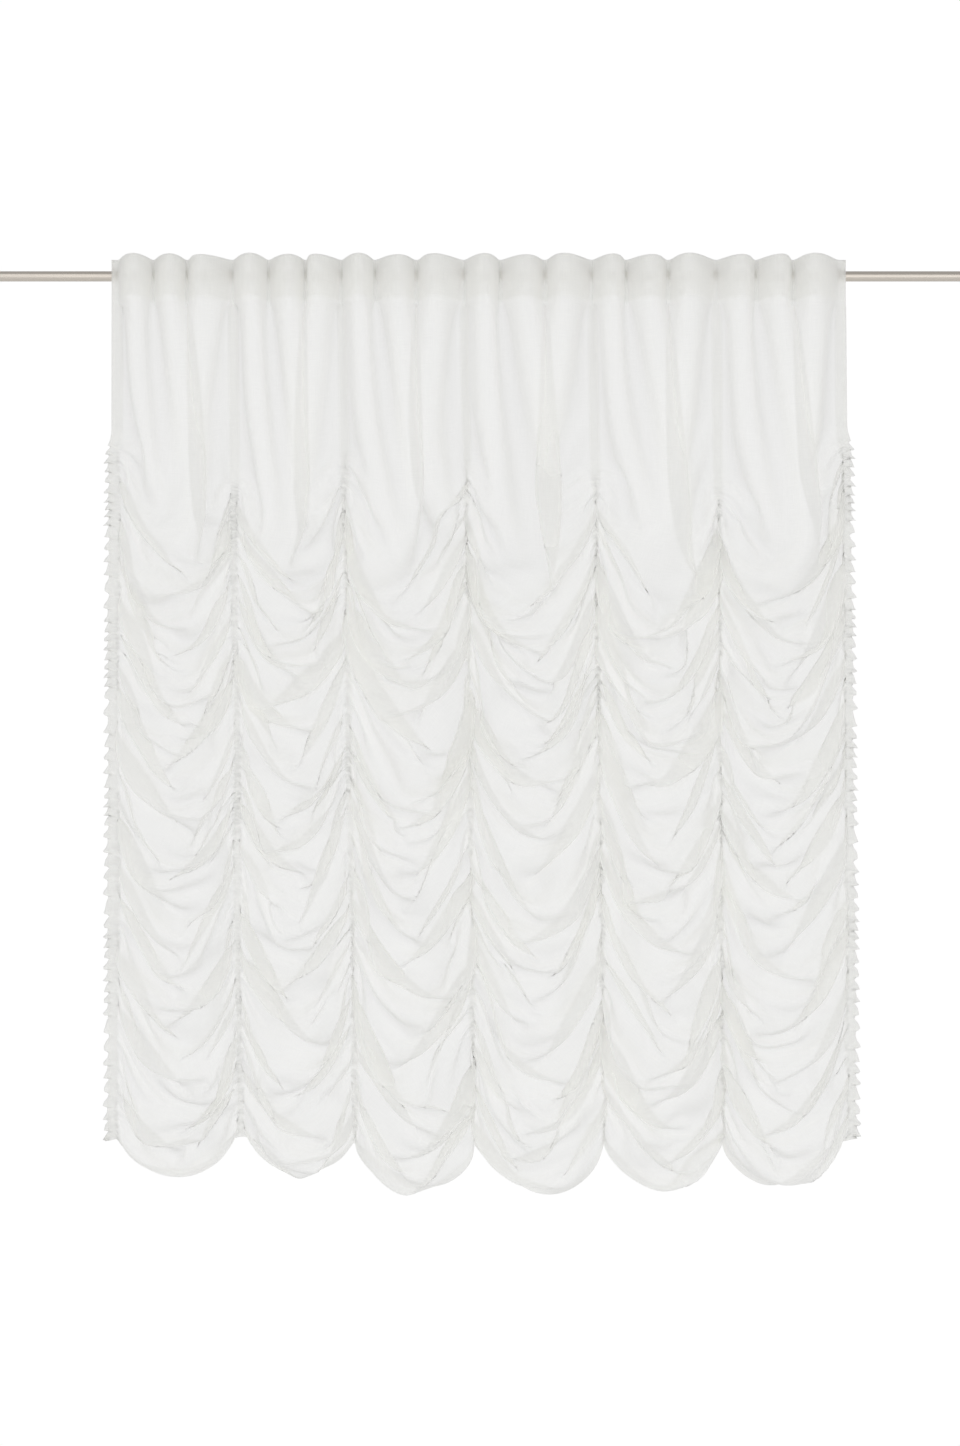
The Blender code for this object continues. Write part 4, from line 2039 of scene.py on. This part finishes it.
@dataclass
class Rod:
    """The straight metal rod, with chamfered ends.

    Attributes:
        sizes: Sizes of the hung curtain.
        finish: Its finish.
        sides: Faces round the rod.
        chamfer: Size of the chamfer at its ends.
        bays: Faces along the rod.
        merge_reach: Distance within which doubled points are merged.
        sharp_angle: Angle in degrees from which an edge looks sharp.
    """

    sizes: HangingSizes
    finish: MetalFinish
    sides: int = 96
    chamfer: float = 0.0008
    bays: int = 40
    merge_reach: float = 0.00001
    sharp_angle: float = 30.0

    def build(self) -> bpy.types.Object:
        """Turn the rod's outline round its axis and close its ends.

        Returns:
            The piece.
        """
        half, radius = self.sizes.rod_length / 2, self.sizes.rod_radius
        inner = half - self.chamfer
        stations = [(-half, 0.0), (-half, radius - self.chamfer), (-inner, radius)]
        stations += [(inner * (2 * bay / self.bays - 1), radius) for bay in range(1, self.bays)]
        stations += [(inner, radius), (half, radius - self.chamfer), (half, 0.0)]
        outline = bpy.data.meshes.new("curtain_rod")
        edges = [(number, number + 1) for number in range(len(stations) - 1)]
        outline.from_pydata([(x, 0.0, r) for x, r in stations], edges, [])
        piece = link_object("curtain_rod", outline)
        turn = piece.modifiers.new("turn", "SCREW")
        turn.axis = "X"
        turn.steps = self.sides
        turn.render_steps = self.sides
        turn.use_merge_vertices = True
        turn.merge_threshold = self.merge_reach
        piece = applied(piece)
        mesh = piece.data
        self.face_outwards(mesh)
        mesh.shade_smooth()
        mesh.set_sharp_from_angle(angle=math.radians(self.sharp_angle))
        mesh.materials.clear()
        mesh.materials.append(self.finish.material())
        dress(piece, ["rod"])
        return piece

    def face_outwards(self, mesh: bpy.types.Mesh) -> None:
        """Merge doubled points and turn all faces outwards.

        Args:
            mesh: The mesh to change.
        """
        bm = bmesh.new()
        bm.from_mesh(mesh)
        bmesh.ops.remove_doubles(bm, verts=bm.verts, dist=self.merge_reach)
        bmesh.ops.recalc_face_normals(bm, faces=bm.faces)
        bm.to_mesh(mesh)
        bm.free()


@dataclass(frozen=True)
class SoftLight:
    """A square soft light that faces the curtain.

    Attributes:
        name: Its name.
        place: Where it stands.
        size: Length of its sides.
        power: Its power in watts.
    """

    name: str
    place: tuple[float, float, float]
    size: float
    power: float


LIGHTS = (
    SoftLight("soft_key", (-2.4, -3.0, 1.6), 2.2, 8.0),
    SoftLight("soft_fill", (2.6, -3.2, -0.4), 2.6, 6.0),
    SoftLight("broad_front", (0.0, -4.4, -0.4), 5.0, 60.0),
)


@dataclass
class Studio:
    """Plain pale studio: camera, soft lights and floor.

    Attributes:
        sizes: Sizes of the hung curtain.
        camera_distance: Distance of the camera in front of the curtain.
        frame_height: Height that the picture covers at the curtain.
        frame_middle: Height of the picture's middle.
        sensor: Size of the camera's sensor in millimetres.
        floor: Height of the floor.
        floor_reach: How far it reaches to each side.
        sky_seen: Brightness of the surroundings and the floor to the camera.
        sky_light: Strength of the surroundings as a light.
        floor_light: Strength of the floor as a light.
        light_bounces: How often light may pass on between the layers of the cloth.
    """

    sizes: HangingSizes
    camera_distance: float = 3.4
    frame_height: float = 2.7474
    frame_middle: float = -0.852
    sensor: float = 36.0
    floor: float = -2.42
    floor_reach: float = 16.0
    sky_seen: float = 1.01
    sky_light: float = 0.59
    floor_light: float = 0.25
    light_bounces: int = 12

    def camera(self) -> None:
        """Level camera, square to the curtain."""
        data = bpy.data.cameras.new("camera")
        data.sensor_width = self.sensor
        data.lens = self.sensor * self.camera_distance / self.frame_height
        data.clip_end = 100.0
        camera = link_object("camera", data)
        camera.location = (0.0, self.sizes.seam_y - self.camera_distance, self.frame_middle)
        camera.rotation_euler = (math.radians(90), 0.0, 0.0)
        bpy.context.scene.camera = camera

    def light(self, plan: SoftLight) -> None:
        """Set up one soft light.

        Args:
            plan: Where it stands, its size and its power.
        """
        data = bpy.data.lights.new(plan.name, "AREA")
        data.shape = "SQUARE"
        data.size = plan.size
        data.energy = plan.power
        made = link_object(plan.name, data)
        made.location = plan.place
        aim = Vector((0.0, 0.0, self.frame_middle)) - Vector(plan.place)
        made.rotation_euler = aim.to_track_quat("-Z", "Y").to_euler()

    def sky(self) -> None:
        """White surroundings, a little brighter to the eye than as a light."""
        world = bpy.data.worlds.new("studio")
        bpy.context.scene.world = world
        world.use_nodes = True
        sheet = NodeSheet(world.node_tree)
        world.node_tree.nodes.clear()
        seen = sheet.add("ShaderNodeLightPath").outputs["Is Camera Ray"]
        strength = sheet.add(
            "ShaderNodeMapRange",
            {"Value": seen, "To Min": self.sky_light, "To Max": self.sky_seen},
        )
        glow = sheet.add(
            "ShaderNodeBackground",
            {"Color": (1.0, 1.0, 1.0, 1.0), "Strength": strength.outputs[0]},
        )
        sheet.add("ShaderNodeOutputWorld", {"Surface": glow.outputs[0]})

    def ground(self) -> None:
        """White floor, a little brighter to the eye than as a light."""
        mesh = bpy.data.meshes.new("floor")
        reach = self.floor_reach
        corners = [(-reach, -reach), (reach, -reach), (reach, reach), (-reach, reach)]
        mesh.from_pydata([(x, y, self.floor) for x, y in corners], [], [(0, 1, 2, 3)])
        material, sheet = new_material("pale_floor")
        face = sheet.add(
            "ShaderNodeBsdfPrincipled",
            {
                "Base Color": (0.95, 0.95, 0.95, 1.0),
                "Roughness": 0.9,
                "Emission Color": (1.0, 1.0, 1.0, 1.0),
                "Emission Strength": self.floor_light,
            },
        )
        white = sheet.add("ShaderNodeEmission", {"Strength": self.sky_seen})
        seen = sheet.add("ShaderNodeLightPath").outputs["Is Camera Ray"]
        surface = sheet.add(
            "ShaderNodeMixShader", {0: seen, 1: face.outputs[0], 2: white.outputs[0]}
        )
        sheet.add("ShaderNodeOutputMaterial", {"Surface": surface.outputs[0]})
        mesh.materials.append(material)
        link_object("floor", mesh)

    def build(self) -> None:
        """Set up the studio."""
        self.camera()
        self.sky()
        self.ground()
        for plan in LIGHTS:
            self.light(plan)
        bpy.context.scene.view_settings.view_transform = "Standard"
        cycles = bpy.context.scene.cycles
        cycles.max_bounces = self.light_bounces
        cycles.diffuse_bounces = self.light_bounces
        cycles.transmission_bounces = self.light_bounces
        cycles.transparent_max_bounces = self.light_bounces


def stages_to_run() -> tuple[Stage, ...]:
    return STAGES


def main() -> None:
    """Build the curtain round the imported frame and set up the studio."""
    logging.basicConfig(level=logging.INFO, format="%(message)s")
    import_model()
    sizes = HangingSizes()
    cut = ClothCut()
    voile = WovenFinish(
        name="white_voile",
        colour=(0.996, 0.996, 0.984),
        cover=0.70,
        cover_waver=0.12,
        through=0.74,
        thread_pitch=0.0005,
        thread_height=0.00003,
        slub_length=0.030,
        slub_width=0.0012,
        crease_spacing=0.018,
        crease_height=0.0002,
        gathered_height=0.0005,
        flat=(cut.width, cut.length),
    )
    tape = WovenFinish(
        name="white_tape",
        colour=(0.985, 0.985, 0.970),
        cover=0.80,
        cover_waver=0.10,
        through=0.70,
        thread_pitch=0.0009,
        thread_height=0.00008,
        slub_length=0.02,
        slub_width=0.004,
        crease_spacing=0.03,
        crease_height=0.0002,
        gathered_height=0.0008,
        flat=(1.0, 1.0),
    )
    narrow = replace(tape, name="white_narrow_tape", cover=0.75)
    settling = Settling(HungStart(sizes, cut), stages_to_run())
    rod = Rod(sizes, MetalFinish()).build()
    panel, grid = VoilePanel(sizes, cut, settling, voile).build()
    tapes = TapeWork(sizes, grid, tape, narrow).build()
    stitches = StitchWork(sizes, grid, ThreadFinish()).build()
    Studio(sizes).build()


if __name__ == "__main__":
    main()
